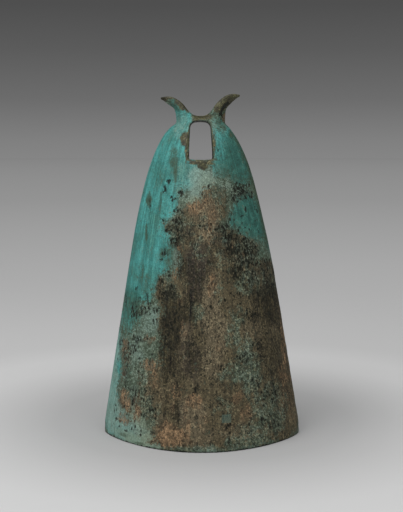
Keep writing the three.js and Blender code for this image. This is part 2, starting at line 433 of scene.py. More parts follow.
def surface_net(function, low, high, step):
    """A mesh of four-sided faces on the zero of a distance function: one point per cell that it crosses."""
    axes = [np.arange(a, b + step, step) for a, b in zip(low, high)]
    field = function(tuple(np.meshgrid(*axes, indexing="ij")))
    inside = field < 0
    count = np.zeros(tuple(n - 1 for n in field.shape), np.int8)
    corners = list(np.ndindex(2, 2, 2))
    for i, j, k in corners:
        count += inside[i:i + count.shape[0], j:j + count.shape[1], k:k + count.shape[2]]
    mixed = (count > 0) & (count < len(corners))
    number = np.full(mixed.shape, -1)
    number[mixed] = np.arange(mixed.sum())
    cells = np.stack(np.nonzero(mixed), 1)

    # Each point is the middle of the places where the surface crosses its cell's edges
    total = np.zeros((len(cells), 3))
    crossings = np.zeros(len(cells))
    for a in corners:
        for axis in range(3):
            if a[axis]:
                continue
            b = tuple(1 if n == axis else a[n] for n in range(3))
            fa = field[tuple((cells + a).T)]
            fb = field[tuple((cells + b).T)]
            cut = (fa < 0) != (fb < 0)
            part = np.where(cut, fa / np.where(cut, fa - fb, 1), 0)
            place = np.array(a, float) + part[:, None] * (np.array(b) - a)
            total += place * cut[:, None]
            crossings += cut
    points = np.array(low) + (cells + total / crossings[:, None]) * step

    # Each crossed edge of the grid has a face over the four cells round it
    quads = []
    for axis in range(3):
        others = [(axis + 1) % 3, (axis + 2) % 3]
        ahead = [slice(None)] * 3
        behind = [slice(None)] * 3
        ahead[axis], behind[axis] = slice(1, None), slice(None, -1)
        crossed = inside[tuple(behind)] != inside[tuple(ahead)]
        at = np.stack(np.nonzero(crossed), 1)
        last = np.array(crossed.shape)[others] - 1
        at = at[((at[:, others] > 0) & (at[:, others] < last)).all(1)]
        ring = []
        for back in ((1, 1), (0, 1), (0, 0), (1, 0)):
            cell = at.copy()
            cell[:, others] -= back
            ring.append(number[tuple(cell.T)])
        ring = np.stack(ring, 1)
        outward = inside[tuple(at.T)]
        ring[~outward] = ring[~outward][:, ::-1]
        quads.append(ring)
    return settle(function, points), np.concatenate(quads)


# Noise on points, from a table that is drawn once
NOISE_DRAW = np.random.default_rng(7)
NOISE_TABLE = 1024
NOISE_ORDER = NOISE_DRAW.permutation(NOISE_TABLE)
NOISE_SLOPES = NOISE_DRAW.normal(size=(NOISE_TABLE, 3))
NOISE_SLOPES /= np.linalg.norm(NOISE_SLOPES, axis=1)[:, None]


def noise(points, size, seed):
    """Smooth noise from about -1 to 1, whose bumps are about size across."""
    q = points / size + seed * 17.31
    cell = np.floor(q).astype(int)
    f = q - cell
    u = f * f * f * (f * (6 * f - 15) + 10)
    total = np.zeros(len(points))
    for corner in np.ndindex(2, 2, 2):
        at = cell + corner
        key = NOISE_ORDER[at[:, 0] % NOISE_TABLE]
        key = NOISE_ORDER[(key + at[:, 1]) % NOISE_TABLE]
        key = NOISE_ORDER[(key + at[:, 2]) % NOISE_TABLE]
        weight = np.prod(np.where(corner, u, 1 - u), axis=1)
        total += weight * (NOISE_SLOPES[key] * (f - corner)).sum(1)
    return 1.6 * total


def rough_noise(points, size, seed, octaves):
    """Noise with finer noise on it, each octave half as large and half as strong."""
    return sum(noise(points, size / 2 ** n, seed + n) / 2 ** n for n in range(octaves)) / 1.5


# Stains and a few spots of painted shade, each one (across, height, half width, half height, strength), with
# across along X on both faces
FRONT_STAINS = {
    "teal": [
        (-36, 160, 20, 52, 1), (-24, 203, 22, 22, 1), (-40, 124, 17, 20, 1), (-44, 108, 12, 9, 0.7),
        (-13, 224, 6, 7, 1), (-18.5, 233, 4.5, 4, 0.55), (-9, 186, 8, 10, 0.7), (31, 153, 13, 17, 0.95),
        (28, 192, 12, 16, 0.6), (42, 140, 8, 14, 0.6), (-64, 66, 7, 12, 0.75), (-62, 46, 6, 11, 0.7),
        (-65, 28, 8, 12, 0.9), (-60, 10, 12, 9, 0.9), (-56, 63, 7, 13, 0.3), (-54, 45, 6, 9, 0.3),
        (-22, 140, 9, 12, 0.7), (12, 188, 5, 6, 0.5), (-18, 163, 5, 5, 0.55), (-52, 93, 11, 15, 0.62),
        (15, 208, 9, 17, 0.8), (26, 204, 9, 16, 0.7), (12, 225, 6, 6, 0.5), (-52, 5, 14, 5, 0.7),
    ],
    "deep": [
        (29, 199, 15, 22, 0.85), (-18, 233, 6, 5, 0.9), (-14, 222, 6, 6, 0.35), (36, 170, 12, 24, 0.8),
        (20, 183, 10, 12, 0.5), (43, 138, 9, 26, 0.8), (31, 154, 9, 12, 0.9), (12, 222, 7, 6, 0.5),
        (24, 156, 10, 10, 0.4), (-49, 93, 11, 14, 0.75), (-20, 124, 5, 18, 0.35),
    ],
    "pale": [
        (0.5, 184, 7, 5, 0.8), (-1.5, 177, 7, 11, 0.8), (-3.5, 167, 5, 5, 0.45), (13, 180, 8, 10, 0.3),
        (-5, 180, 13, 16, 0.32), (-14, 222, 5, 6, 0.4), (-46, 3.5, 18, 4, 1), (-34, 5, 10, 4, 1),
        (8, 2, 10, 2, 0.7), (34, 3, 12, 2.5, 0.6), (-16, 128, 4, 10, 0.5), (-33, 85, 6, 8, 0.6),
        (-31, 92, 4, 6, 0.5), (-40, 76, 5, 8, 0.4), (-9, 160, 4, 4, 0.5), (-45, 57, 6, 6, 0.4),
        (-38, 14, 6, 4, 0.5), (-7, 216, 2.5, 5, 0.5), (9, 216, 2, 8, 0.4), (-46, 6, 18, 6, 0.95),
        (-64, 64, 8, 16, 0.9), (-64, 40, 6, 12, 0.8), (-64, 22, 8, 10, 0.8), (-58, 10, 12, 10, 0.7),
        (14, 207, 4, 9, 0.12), (-44, 66, 6, 9, 0.3), (-38, 3, 10, 3, 0.7), (-41, 24, 12, 18, 0.42),
        (-55, 13, 13, 9, 0.85), (-30, 7, 5, 4, 0.35), (5, 174, 5, 6, 0.35), (40, 7, 6, 5, 0.35),
        (-15, 214, 5, 6, 0.4), (4, 187, 5, 4, 0.3),
    ],
    "crust": [
        (8.5, 170, 10, 8, 0.7), (3.5, 159, 15.5, 8, 0.95), (-6, 151, 18, 7, 1), (4, 140, 23, 11, 1),
        (28, 134, 11, 9, 1), (2, 122, 18, 15, 1), (24, 117, 19, 13, 0.95), (-4, 105, 24, 12, 1),
        (-25.5, 107, 5, 8, 0.85), (47, 112, 10, 13, 0.9), (20, 92, 38, 18, 1), (-14, 84, 15, 16, 1),
        (24, 66, 40, 22, 1), (-8, 60, 20, 16, 1), (55, 84, 14, 24, 1), (16, 222.6, 2.2, 5.4, 1),
        (10, 36, 48, 20, 1), (-22, 38, 18, 16, 0.9), (-13, 12, 17, 12, 1), (30, 13, 45, 12, 1),
        (60, 32, 14, 30, 1), (-40, 52, 6, 8, 0.5), (-38, 30, 6, 10, 0.5), (-52, 27, 6, 12, 0.5),
        (-30, 20, 8, 12, 0.7), (-27, 8, 6, 5, 0.5), (-31, 4, 4, 2.4, 0.5),
    ],
    "green": [
        (-50, 58, 15, 40, 1), (-22, 122, 4, 16, 0.35), (-42, 22, 14, 16, 0.9), (33, 53, 9, 12, 0.95),
        (30, 67, 9, 9, 0.7), (26, 91, 8, 8, 0.6), (30, 113, 6, 10, 0.75), (48, 26, 14, 18, 0.8),
        (38, 11, 18, 8, 0.6), (15, 30, 7, 9, 0.5), (20, 50, 8, 8, 0.6), (-2, 93, 6, 7, 0.85),
        (12, 105, 5, 7, 0.3), (12, 172, 6, 7, 0.6), (15, 186, 6, 8, 0.7), (22, 77, 5, 8, 0.6),
        (46, 111, 9, 11, 0.6), (-32, 70, 8, 12, 0.6), (17, 130, 6, 6, 0.4), (-13, 156, 6, 4, 0.5),
        (-18, 104, 5, 8, 0.5), (0, 2.5, 30, 2.5, 0.8), (30, 4, 16, 4, 0.8), (0, 150, 22, 16, 0.4),
        (0, 122, 22, 16, 0.3), (30, 120, 12, 16, 0.4), (30, 134, 9, 9, 0.75), (-22, 108, 5, 10, 0.5),
        (34, 42, 6, 6, 0.6), (-16, 150, 5, 5, 0.5), (16, 146, 6, 6, 0.4), (-22, 150, 6, 10, 0.15),
        (-16, 140, 5, 8, 0.4),
    ],
    "sheet": [(18.2, 22.4, 7, 7, 1), (18.2, 139, 7, 7, 0.35)],
    "rust": [
        (-3, 35, 6, 6, 0.9), (-19, 12, 9, 7, 1), (-20, 8, 6, 5, 1), (-24, 14, 7, 8, 0.6), (-9, 8, 6, 5, 0.7),
        (-32, 47, 5, 7, 0.7), (-27, 36, 4, 6, 0.4), (-53, 29, 5, 8, 0.95), (-53, 29, 4, 6, 0.7),
        (-43, 44, 3, 6, 0.5), (-44, 21, 4, 6, 0.6), (-58, 28, 3, 7, 0.5), (-43, 26, 4, 8, 0.8),
        (-55, 15, 4, 3.5, 0.95), (-35, 56, 7, 4, 0.8), (26, 36, 5, 4, 0.8), (32, 25, 5, 6, 0.8),
        (-16, 41, 5, 5, 0.7), (-9, 18, 4, 6, 0.7), (2, 10, 5, 6, 0.5), (-8, 82, 4, 7, 0.5),
        (8, 112, 3.5, 9, 0.5), (-13, 135, 3, 5, 0.7), (-15, 120, 3.5, 5, 0.35), (20, 138, 3, 4, 0.6),
        (-3, 163, 6, 5, 0.8), (7, 157, 4, 8, 0.8), (5, 145, 3.5, 7, 0.6), (-35, 73, 5, 4, 0.7),
        (-53, 66, 3, 6, 0.9), (-52, 59, 5, 8, 0.6), (-22, 6, 7, 5, 0.9), (-54, 47, 3, 7, 0.6),
        (14, 71, 4, 5, 0.5), (-13, 100, 3, 5, 0.4), (27, 129, 4, 3, 0.5), (5, 168, 4, 3, 0.6),
        (20, 16, 5, 4, 0.4), (48, 14, 5, 4, 0.4), (61, 66, 4, 20, 0.45), (57, 96, 4, 14, 0.4),
        (65, 30, 4, 22, 0.45), (57, 28, 7, 24, 0.38), (16, 222.5, 2.2, 5, 0.55), (-8, 28, 3, 8, 0.35),
        (-11, 38, 2.5, 8, 0.25), (-12.2, 80, 2.4, 8, 0.6), (-19, 36, 3, 11, 0.5), (-0.4, 193.4, 9, 0.9, 0.7),
        (8.3, 110, 2.4, 12, 0.55), (-17, 118, 2.4, 6, 0.4), (-30, 4, 5, 3, 0.6), (58, 60, 3, 30, 0.5),
        (4, 20, 5, 6, 0.5),
    ],
    "dark": [
        (-18, 86, 6, 22, 1), (-21, 64, 5, 14, 0.9), (47, 62, 6, 16, 0.45), (49, 92, 8, 12, 0.8),
        (42, 101, 9, 8, 0.7), (-13, 98, 5, 6, 0.6), (-26, 106, 5, 7, 0.45), (-16, 151, 6, 5, 0.5),
        (-9, 144, 5, 5, 0.5), (-16, 124, 6, 8, 0.85), (19, 131, 4.5, 5.5, 0.75), (5, 118, 4, 6, 0.3),
        (12, 34, 5, 5, 0.4), (15, 142, 8, 8, 0.42), (28, 132, 9, 8, 0.42), (51, 94, 6, 14, 0.5),
        (-15, 130, 5, 11, 0.7), (8, 122, 4, 10, 0.5), (-1, 70, 7, 15, 0.5), (61, 45, 6, 33, 0.6),
        (58, 82, 5, 28, 0.7), (-17, 138, 4, 6, 0.7), (-20, 28, 6, 10, 0.4), (24, 118, 6, 8, 0.6),
        (36, 88, 8, 5, 0.6), (50, 104, 8, 16, 0.6), (52, 48, 5, 22, 0.5), (-21, 82, 6, 26, 0.95),
        (-23, 70, 4, 26, 0.8), (-8, 91, 4.5, 7, 0.85), (-6.5, 60, 3.4, 9, 0.5), (-2, 90, 5, 6, 0.35),
        (-16, 69, 5, 8, 0.35), (12, 137, 5, 6, 0.4), (33, 110, 5, 6, 0.4), (-14.6, 28, 1.8, 10, 0.8),
        (-23, 30, 1.6, 10, 0.6), (-28, 236, 4.4, 2.4, 1), (-22, 239, 5, 1, 0.6), (21, 233.6, 5, 1.6, 0.8),
        (27, 239.6, 2, 1.6, 0.9), (-12, 231, 1.6, 3, 0.6), (-4, 112, 8, 20, 0.6), (44, 128, 6, 12, 0.6),
        (41, 72, 5, 14, 0.4), (-14, 52, 6, 10, 0.5), (10, 18, 5, 6, 0.4), (-3, 42, 3, 2, 0.8),
    ],
    "purple": [
        (-3, 123, 8, 15, 1), (-3, 106, 7, 7, 0.8), (-8, 88, 6, 8, 0.6), (-9, 148, 8, 6, 0.6),
        (12, 143, 5, 5, 0.6), (44, 118, 5, 8, 0.4), (0, 137, 8, 5, 0.6), (-9, 64, 7, 15, 0.65),
        (-3, 58, 4, 14, 0.6), (-12, 28, 3, 14, 0.4),
    ],
    "khaki": [
        (7, 92, 8, 13, 0.9), (6, 153, 7, 13, 1), (7, 113, 6, 11, 0.8), (12, 78, 9, 12, 1),
        (8, 62, 8, 12, 0.8), (-2, 165, 10, 6, 0.8), (-9, 80, 4, 9, 0.7), (-5, 25, 10, 13, 0.9),
        (35, 79, 9, 11, 0.5), (0, 10, 12, 8, 0.7), (22, 128, 6, 5, 0.4), (52, 88, 3, 14, 0.5),
        (-11.6, 80, 2.6, 9, 0.9), (-28, 18, 8, 8, 0.6), (-38, 28, 7, 18, 0.6), (-44, 21, 6, 7, 0.6),
        (-30, 7, 7, 5, 0.6), (-37, 69, 5, 6, 0.6), (-2, 157, 5, 5, 0.6), (33, 21, 6, 6, 0.5),
        (26, 12, 12, 6, 0.5), (-42, 4, 16, 5, 0.6), (36, 10, 12, 6, 0.7), (5, 177, 5, 9, 0.3),
    ],
    "pits_and_shade": [
        (-24.4, 175.4, 1.5, 3.6, 1), (-22, 180.6, 2, 2.2, 1), (-20, 169, 3, 2.2, 0.9),
        (-13, 172.6, 2, 2.2, 1), (-16, 161, 3, 1.6, 0.9), (-12, 160, 3, 1.4, 0.8), (-16, 155, 5, 2.4, 0.8),
        (-22, 148, 3.5, 3.5, 0.8), (-17, 140, 3.5, 3, 0.85), (-15, 147, 3, 5, 0.72), (-25, 154, 1, 1, 0.9),
        (-26, 127, 1.3, 1.3, 0.92), (23.4, 173.6, 1.4, 2, 1), (25.6, 175.6, 1.3, 1.7, 1),
        (28.6, 173.4, 1.6, 1.7, 1), (26.4, 171.4, 1.5, 1.2, 1), (22.4, 168.6, 1.6, 1.8, 1),
        (25, 172.5, 6, 6, 0.82), (31, 173, 4, 5, 0.62), (-23, 131, 4, 5, 0.45), (-23, 117, 3.5, 4, 0.7),
        (18, 163, 1, 1, 0.9), (21, 158, 1.3, 1, 0.9), (28, 156, 1.2, 1, 0.9), (15, 147, 5, 6, 0.85),
        (19, 152, 2, 3, 0.8), (22, 140, 5, 4, 0.85), (29, 137, 6, 5, 0.74), (25, 130, 5, 4, 0.78),
        (36, 131, 4, 5, 0.84), (31, 126, 5, 4, 0.8), (25, 119, 5, 5, 0.8), (20, 134, 3, 4, 0.85),
        (24, 146, 4, 3, 0.85), (-27, 112, 4, 3, 0.82), (-26, 104, 3.5, 5, 0.8), (-19, 107, 2.5, 5, 0.7),
        (-37, 101, 1.3, 4, 0.9), (-35, 95, 1.4, 5, 0.8), (-42, 99, 1.2, 2, 0.9), (-39, 92, 2.6, 3, 0.7),
        (-30, 93, 3, 3, 0.6), (-31, 86, 2.6, 2.6, 0.5), (-45, 92, 6, 7, 0.55), (-45, 106, 1.6, 2, 0.8),
        (45, 35, 9, 7, 0.65), (28, 60, 5, 5, 0.6), (38, 69, 4, 4, 0.6), (13, 57, 4, 3, 0.6),
        (38, 45, 5, 4, 0.6), (-47, 64, 2, 4, 0.8), (-45, 71, 3, 3, 0.8), (-57, 66, 1.5, 4, 0.7),
        (-40, 73, 5, 3, 0.6), (-52, 40, 2, 5, 0.6), (-47, 33, 3, 6, 0.5), (-32, 24, 3.5, 4, 0.5),
        (-35, 37, 4, 5, 0.35), (20, 16, 4, 4, 0.6), (31, 17, 5, 3, 0.4), (46, 17, 7, 6, 0.45),
        (35, 90, 5, 6, 0.6), (22, 102, 8, 5, 0.5), (-60, 18, 2, 6, 0.5), (-54, 22, 1, 5, 0.6),
        # The spots from (13.3, 227) to (17.6, 233.4) are painted shadow in the crease under the right horn's
        # overhang
        (12, 202, 0.9, 0.9, 0.9), (-23, 211, 1.4, 1.2, 0.6), (13.3, 227, 1.3, 2.6, 1),
        (14.5, 229.8, 1.5, 2.2, 1), (15.8, 231.8, 1.8, 2, 1), (17.6, 233.4, 1.9, 1.5, 1),
        (-35.2, 164.6, 0.8, 5, 0.97), (-20.5, 232.5, 1, 1, 0.7), (-26.8, 236.2, 3.2, 2.2, 0.55),
        (-42, 45, 13, 34, 0.24), (45, 20, 18, 18, 0.14), (-32, 14, 8, 8, 0.12), (-50, 10, 12, 5, 0.3),
        (30, 150, 14, 30, 0.2), (8, 96, 1.2, 3, 0.7), (-7, 98, 4, 3, 0.6), (36, 119, 5, 8, 0.6),
        (46, 112, 7, 16, 0.5), (-20, 82, 6, 18, 0.5), (-53, 58, 7, 12, 0.3), (-48, 90, 1, 4, 0.5),
        (-53, 95, 1, 5, 0.6), (-3, 42, 3, 1.6, 0.8), (3, 152, 6, 4, 0.4), (6, 177, 1, 2, 0.5),
    ],
    "olive": [
        (-36, 167, 2, 5.4, 1), (-18.5, 196, 3.4, 9, 0.75), (-23, 131, 6, 7, 0.7), (-45, 93, 4, 7, 0.6),
        (-37, 110, 6, 8, 0.5), (-30, 173, 5, 9, 0.3), (-23, 166, 5, 6, 0.3), (-44, 117, 6, 8, 0.3),
        (-26, 182, 3, 5, 0.5), (-17, 187, 1.4, 9, 0.9), (15, 185, 7, 6, 0.5), (-37.6, 145, 0.9, 8, 1),
        (16, 226, 6, 4, 0.7), (-33, 134, 1.2, 6, 0.3), (21, 213, 2, 4, 0.8), (29, 198, 2.2, 5, 0.8),
        (-51, 98, 2, 8, 0.2), (-54, 4, 4, 1.4, 0.7), (-42, 2, 5, 1, 0.7), (-33, 4, 3, 1.2, 0.6),
        (-31, 150, 1, 8, 0.5), (-27.5, 165, 0.8, 9, 0.5), (-40, 120, 1, 8, 0.5), (-30, 178, 0.8, 6, 0.4),
    ],
    "wear_and_shade": [
        # The thin spots at -9.6 and 9.3 across darken the windows' side edges as painted shade over worn metal
        (-11, 208.6, 3.1, 5.8, 1), (-9.6, 203, 1, 9, 0.8), (9.3, 208, 1.1, 9, 0.6),
        (-0.4, 192.8, 9.3, 1.3, 1), (1.2, 190.2, 3.8, 2.2, 0.95), (1, 224.5, 7.5, 2.6, 0.9),
        (-4, 221.6, 3, 1.5, 0.6),
    ],
}

BACK_STAINS = {
    "teal": [
        (30, 165, 18, 44, 1), (20, 205, 20, 20, 1), (-30, 190, 16, 22, 0.9), (-12, 224, 7, 7, 1),
        (12, 224, 7, 7, 0.7), (44, 118, 10, 22, 0.9), (-42, 150, 10, 20, 0.8), (58, 60, 9, 40, 0.8),
        (-60, 40, 10, 42, 0.9), (-20, 168, 12, 14, 0.8), (6, 178, 12, 10, 0.6),
    ],
    "deep": [(-26, 200, 16, 18, 0.6), (-38, 160, 10, 20, 0.6), (14, 190, 8, 10, 0.5), (46, 100, 10, 16, 0.6)],
    "sheet": [(-18.2, 22.4, 7, 7, 0.8), (18.2, 139, 7, 7, 0.8)],
    "pale": [
        (4, 186, 9, 6, 0.9), (12, 174, 6, 8, 0.6), (-20, 140, 5, 9, 0.5), (34, 92, 6, 9, 0.7),
        (-44, 70, 6, 8, 0.6),
    ],
    "crust": [
        (-4, 156, 13, 12, 0.8), (-8, 136, 22, 16, 1), (12, 118, 22, 18, 1), (-26, 112, 20, 15, 0.95),
        (0, 92, 34, 20, 1), (-30, 66, 24, 22, 0.9), (20, 62, 30, 24, 1), (-8, 32, 44, 22, 1),
        (36, 26, 18, 18, 0.8), (0, 10, 40, 10, 1), (-46, 92, 8, 12, 0.6),
    ],
    "green": [
        (50, 66, 14, 40, 1), (-50, 62, 14, 44, 1), (22, 96, 8, 8, 0.7), (-12, 104, 7, 8, 0.6),
        (-30, 48, 10, 9, 0.9), (10, 44, 8, 8, 0.6), (40, 16, 14, 10, 0.8), (-22, 18, 9, 8, 0.6),
        (0, 130, 6, 7, 0.5), (0, 3, 40, 2, 0.6),
    ],
    "rust": [
        (10, 150, 5, 6, 0.8), (-14, 128, 4, 8, 0.8), (18, 108, 5, 6, 0.7), (-6, 78, 5, 8, 0.7),
        (30, 50, 6, 8, 0.9), (-24, 34, 7, 7, 0.9), (14, 22, 8, 6, 1), (48, 32, 5, 8, 0.9),
        (-46, 30, 4, 8, 0.9), (-38, 14, 6, 5, 0.7),
    ],
    "dark": [
        (-20, 88, 7, 20, 0.9), (26, 72, 8, 16, 0.9), (6, 120, 8, 10, 0.8), (-30, 118, 8, 8, 0.7),
        (-2, 56, 8, 12, 0.5), (10, 138, 7, 6, 0.7),
    ],
    "purple": [(-4, 112, 8, 14, 0.9), (10, 84, 7, 9, 0.6), (-14, 148, 6, 6, 0.5)],
    "khaki": [
        (0, 94, 9, 12, 0.9), (-10, 152, 6, 8, 0.8), (16, 66, 9, 12, 0.9), (-18, 48, 9, 10, 0.8),
        (4, 18, 14, 10, 0.7),
    ],
    "pits_and_shade": [
        (18, 178, 3, 3, 1), (22, 171, 2, 3, 0.9), (-12, 172, 3, 2, 0.9), (14, 158, 4, 3, 0.9),
        (-24, 150, 5, 4, 0.9), (22, 140, 5, 5, 0.9), (-34, 126, 4, 5, 0.9), (32, 122, 4, 6, 0.9),
        (-40, 106, 3, 5, 0.8), (36, 102, 3, 6, 0.8), (40, 80, 3, 5, 0.7), (-44, 56, 4, 6, 0.7),
        (46, 50, 4, 6, 0.7), (-10, 66, 6, 5, 0.5), (-36, 78, 4, 5, 0.7), (20, 34, 6, 5, 0.6),
        (-54, 26, 3, 6, 0.6), (52, 18, 4, 5, 0.6), (-30, 186, 1.5, 2, 0.8), (30, 196, 1.2, 2, 0.8),
    ],
    "olive": [
        (34, 170, 1.8, 6, 0.9), (-16, 192, 3, 8, 0.6), (24, 188, 2, 7, 0.5), (-26, 208, 3, 7, 0.5),
        (40, 140, 1.4, 8, 0.6),
    ],
    "wear_and_shade": [
        (11.5, 206, 2, 8, 0.9), (0, 194, 9, 1.8, 1), (-10, 203, 1.2, 9, 0.7), (0, 224.5, 7.5, 2.6, 0.9),
        (3, 191.5, 3, 2, 0.8),
    ],
}

# Worn spots on the horns, as (across, height, half width, half height, strength), the same on both faces
HORN_WEAR = [
    (-27.5, 236.5, 4.4, 2.6, 1), (-20, 238, 6, 2, 1), (-15.4, 235, 3.2, 2.8, 1), (-12.4, 231.6, 2.8, 3.2, 1),
    (-9.6, 227.8, 1.5, 2.6, 0.95), (24, 239, 6, 3.4, 1), (18, 236, 6, 4.5, 1), (13.5, 232.4, 4, 4.2, 1),
    (11, 229.2, 2.6, 2.8, 0.9), (8, 226, 2.5, 2, 0.8),
]


def stain(x, z, spots, grown=0.0):
    """How far points are covered by a list of spots: 0.5 at the edge of a full one."""
    clear = np.ones(len(x))
    for across, height, half_width, half_height, strength in spots:
        d = np.hypot((x - across) / (half_width + grown), (z - height) / (half_height + grown))
        clear *= 1 - strength * fade(d, SPOT_FULL, SPOT_GONE)
    return 1 - clear


def either(a, b):
    """The cover of two coats, one over the other."""
    return 1 - (1 - a) * (1 - b)


def paint(points):
    """The strength of each stain and of the painted shade at points of the bell, before its lean."""
    x, y, z = points.T
    wander = np.stack([rough_noise(points, *layer) for layer in WANDER_NOISES], 1) * WANDER_REACH
    close = np.stack([noise(points, *layer) for layer in CLOSE_NOISES], 1) * CLOSE_REACH
    flat = np.stack([x - LEAN * z / CROWN_HEIGHT, z], 1)
    loose = (flat + wander + close).T
    tight = (flat + TIGHT_WANDER * wander + TIGHT_CLOSE * close).T
    turn = FACE_TURN - (FACE_TURN - CROWN_FACE_TURN) * ramp(z, CROWN_TURN_FROM, CROWN_TURN_TO)
    to_back = ramp(y / turn, -1, 1)

    def cover(name, grown=0.0):
        place = tight if name in TIGHT_STAINS else loose
        front, back = (stain(*place, stains[name], grown) for stains in (FRONT_STAINS, BACK_STAINS))
        return (1 - to_back) * front + to_back * back

    out = {name: cover(name) for name in FRONT_STAINS}
    out["border"] = 0.5 * (cover("crust", BORDER) + cover("crust", INNER_BORDER))

    to_ridge = half_width_at(z, OUTLINE) - x + 1.2 * close[:, 0]
    rubbed = between(z, *RIDGE_BAND_HEIGHTS) * fade(to_ridge, 0, RIDGE_BAND)
    out["olive"] = np.maximum(out["olive"], 0.95 * rubbed)

    # Painted shade over worn metal on the windows' rounded edges, so the reveals show dark
    window_edge = fade(np.abs(window_distance(points.T)), *WINDOW_SHADE_AND_WEAR_REACH)
    window_edge = window_edge * fade(z, *WINDOW_SHADE_AND_WEAR_HEIGHTS)
    out["wear_and_shade"] = either(out["wear_and_shade"], WINDOW_SHADE_AND_WEAR * window_edge)
    out["wear_and_shade"] = either(out["wear_and_shade"], stain(*tight, HORN_WEAR) * ramp(z, *HORN_WEAR_HEIGHTS))

    # Painted contact shadow: a dark line along the foot of the rim, carried with the pits
    out["pits_and_shade"] = np.maximum(out["pits_and_shade"], fade(z - 0.25 * close[:, 0], *RIM_SHADOW_HEIGHTS))

    depth = -olive_distance(points.T, OUTLINE, DEPTH_RATIO)
    hidden = ramp(depth, *HOLLOW_DEPTHS) * fade(z, *HOLLOW_HEIGHTS)
    out["inside"] = hidden * fade(z, CROWN_HEIGHT - 1.5, CROWN_HEIGHT)
    return out


def relief(points, slope, coat):
    """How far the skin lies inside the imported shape: waves, crust, pits and the seam of the mould.

    It is less than zero where this casting stands out of that shape.
    """
    x, y, z = points.T
    hollow = coat["inside"]
    rough = rough_noise(points, *ROUGHNESS)
    lumps = np.clip(rough + 0.4 * noise(points, *LUMPS), -1, 1)
    crust = ramp(coat["crust"] + 0.25 * rough, 0.35, 0.65)
    sink = WAVE * (0.5 + 0.5 * rough_noise(points, *WAVES))
    sink += CRUST_SINK * (1 - crust * (CRUST_LEVEL + (1 - CRUST_LEVEL) * lumps))
    sink += PIT_DEPTH * ramp(coat["pits_and_shade"] + 0.5 * noise(points, *PITTING), 0.55, 0.95)
    seam = np.exp(-(y / SEAM_HALF_WIDTH) ** 2) * (1 - hollow)
    sink -= SEAM_RISE * seam * (0.6 + 0.4 * noise(points, *SEAM_WAVES))
    sink = np.where(hollow > 0.5, 2 * WAVE * (0.5 + 0.35 * rough_noise(points, *HOLLOW_WAVES)), sink)

    # The rim keeps its flat face, with a few nicks
    bottom = ramp(-slope[:, 2], 0.3, 0.9) * fade(z, 0.6, 2.5)
    nick = ramp(noise(points, *NICKS), 0.35, 0.8)
    sink = np.maximum(sink, 0.02) * (1 - 0.85 * bottom) + NICK_DEPTH * bottom * nick
    horn = between(z, *HORN_CALM_HEIGHTS)
    sink = sink * (1 - HORN_CALM * horn) * (1 - RIM_CALM + RIM_CALM * ramp(z, *RIM_CALM_HEIGHTS))

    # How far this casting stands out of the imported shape
    right_shoulder = ramp(x, *RIGHT_SHOULDER_ACROSS) * ramp(z, *RIGHT_SHOULDER_HEIGHTS)
    proud = PROUD - RIGHT_SHOULDER_SLIM * right_shoulder
    proud += (HORN_PROUD - proud) * ramp(z, *HORN_PROUD_HEIGHTS)
    proud += ROOF_PROUD * fade(np.abs(x), 6, ROOF_HALF_WIDTH) * ramp(z, *ROOF_PROUD_HEIGHTS)
    for name, side in SIDES.items():
        outer_side = ramp(side * slope[:, 0], 0.3, 0.8) * ramp(side * x, *NECK_ACROSS)
        proud -= NECK_SLIM[name] * between(z, *NECK_HEIGHTS) * outer_side
    most = np.maximum(z - RIM_FLAT, 0) * (RIM_SLOPE + RIM_SIDE_SLOPE * slope[:, 0] ** 2)
    return sink - np.minimum(proud, most) * (1 - hollow)


def lean(points):
    """Moves points by the lean of the crown to one side."""
    return points - np.outer(points[:, 2], (LEAN / CROWN_HEIGHT, 0, 0))


def add_object(name, data):
    """A new object in the scene."""
    item = bpy.data.objects.new(name, data)
    bpy.context.scene.collection.objects.link(item)
    return item


def mesh_object(name, points, faces):
    """A new object, in metres, from points in millimetres."""
    mesh = bpy.data.meshes.new(name)
    mesh.from_pydata((np.asarray(points) * MM).tolist(), [], [list(f) for f in faces])
    mesh.update()
    return add_object(name, mesh)


def points_of(piece):
    """The piece's points in millimetres."""
    flat = np.empty(3 * len(piece.data.vertices))
    piece.data.vertices.foreach_get("co", flat)
    return flat.reshape(-1, 3) / MM


def apply_modifiers(piece):
    """Makes the result of the piece's modifiers its mesh."""
    graph = bpy.context.evaluated_depsgraph_get()
    mesh = bpy.data.meshes.new_from_object(piece.evaluated_get(graph))
    old = piece.data
    piece.modifiers.clear()
    piece.data = mesh
    mesh.name = piece.name
    bpy.data.meshes.remove(old)


def cut(piece, tools, operation):
    """Cuts, trims or joins a piece with each tool in turn, and removes the tools."""
    for tool in tools:
        step = piece.modifiers.new("cut", "BOOLEAN")
        step.operation = operation
        step.solver = "MANIFOLD"
        step.object = tool
    apply_modifiers(piece)
    for tool in tools:
        bpy.data.objects.remove(tool)


def rectangle(low_x, high_x, low_z, high_z):
    return [(low_x, low_z), (high_x, low_z), (high_x, high_z), (low_x, high_z)]


def prism(name, outline, half_depth, middle=0.0):
    """A block over an outline in X and Z, from front to back."""
    count = len(outline)
    points = [(x, y, z) for y in (middle - half_depth, middle + half_depth) for x, z in outline]
    faces = [tuple(range(count)), tuple(range(2 * count - 1, count - 1, -1))]
    faces += [((n + 1) % count, n, n + count, (n + 1) % count + count) for n in range(count)]
    block = mesh_object(name, points, faces)
    shape = bmesh.new()
    shape.from_mesh(block.data)
    bmesh.ops.recalc_face_normals(shape, faces=shape.faces)
    shape.to_mesh(block.data)
    shape.free()
    return block


def thin_inside(piece, coat):
    """Uses fewer faces where the mesh is inside the hollow."""
    inside = np.nonzero(coat["inside"] > 0.5)[0]
    piece.vertex_groups.new(name="inside").add(inside.tolist(), 1.0, "REPLACE")
    step = piece.modifiers.new("fewer", "DECIMATE")
    step.ratio = 1 - len(inside) / len(piece.data.vertices) * (1 - INNER_SHARE)
    step.vertex_group = "inside"
    step.vertex_group_factor = 10.0
    apply_modifiers(piece)
    piece.vertex_groups.clear()


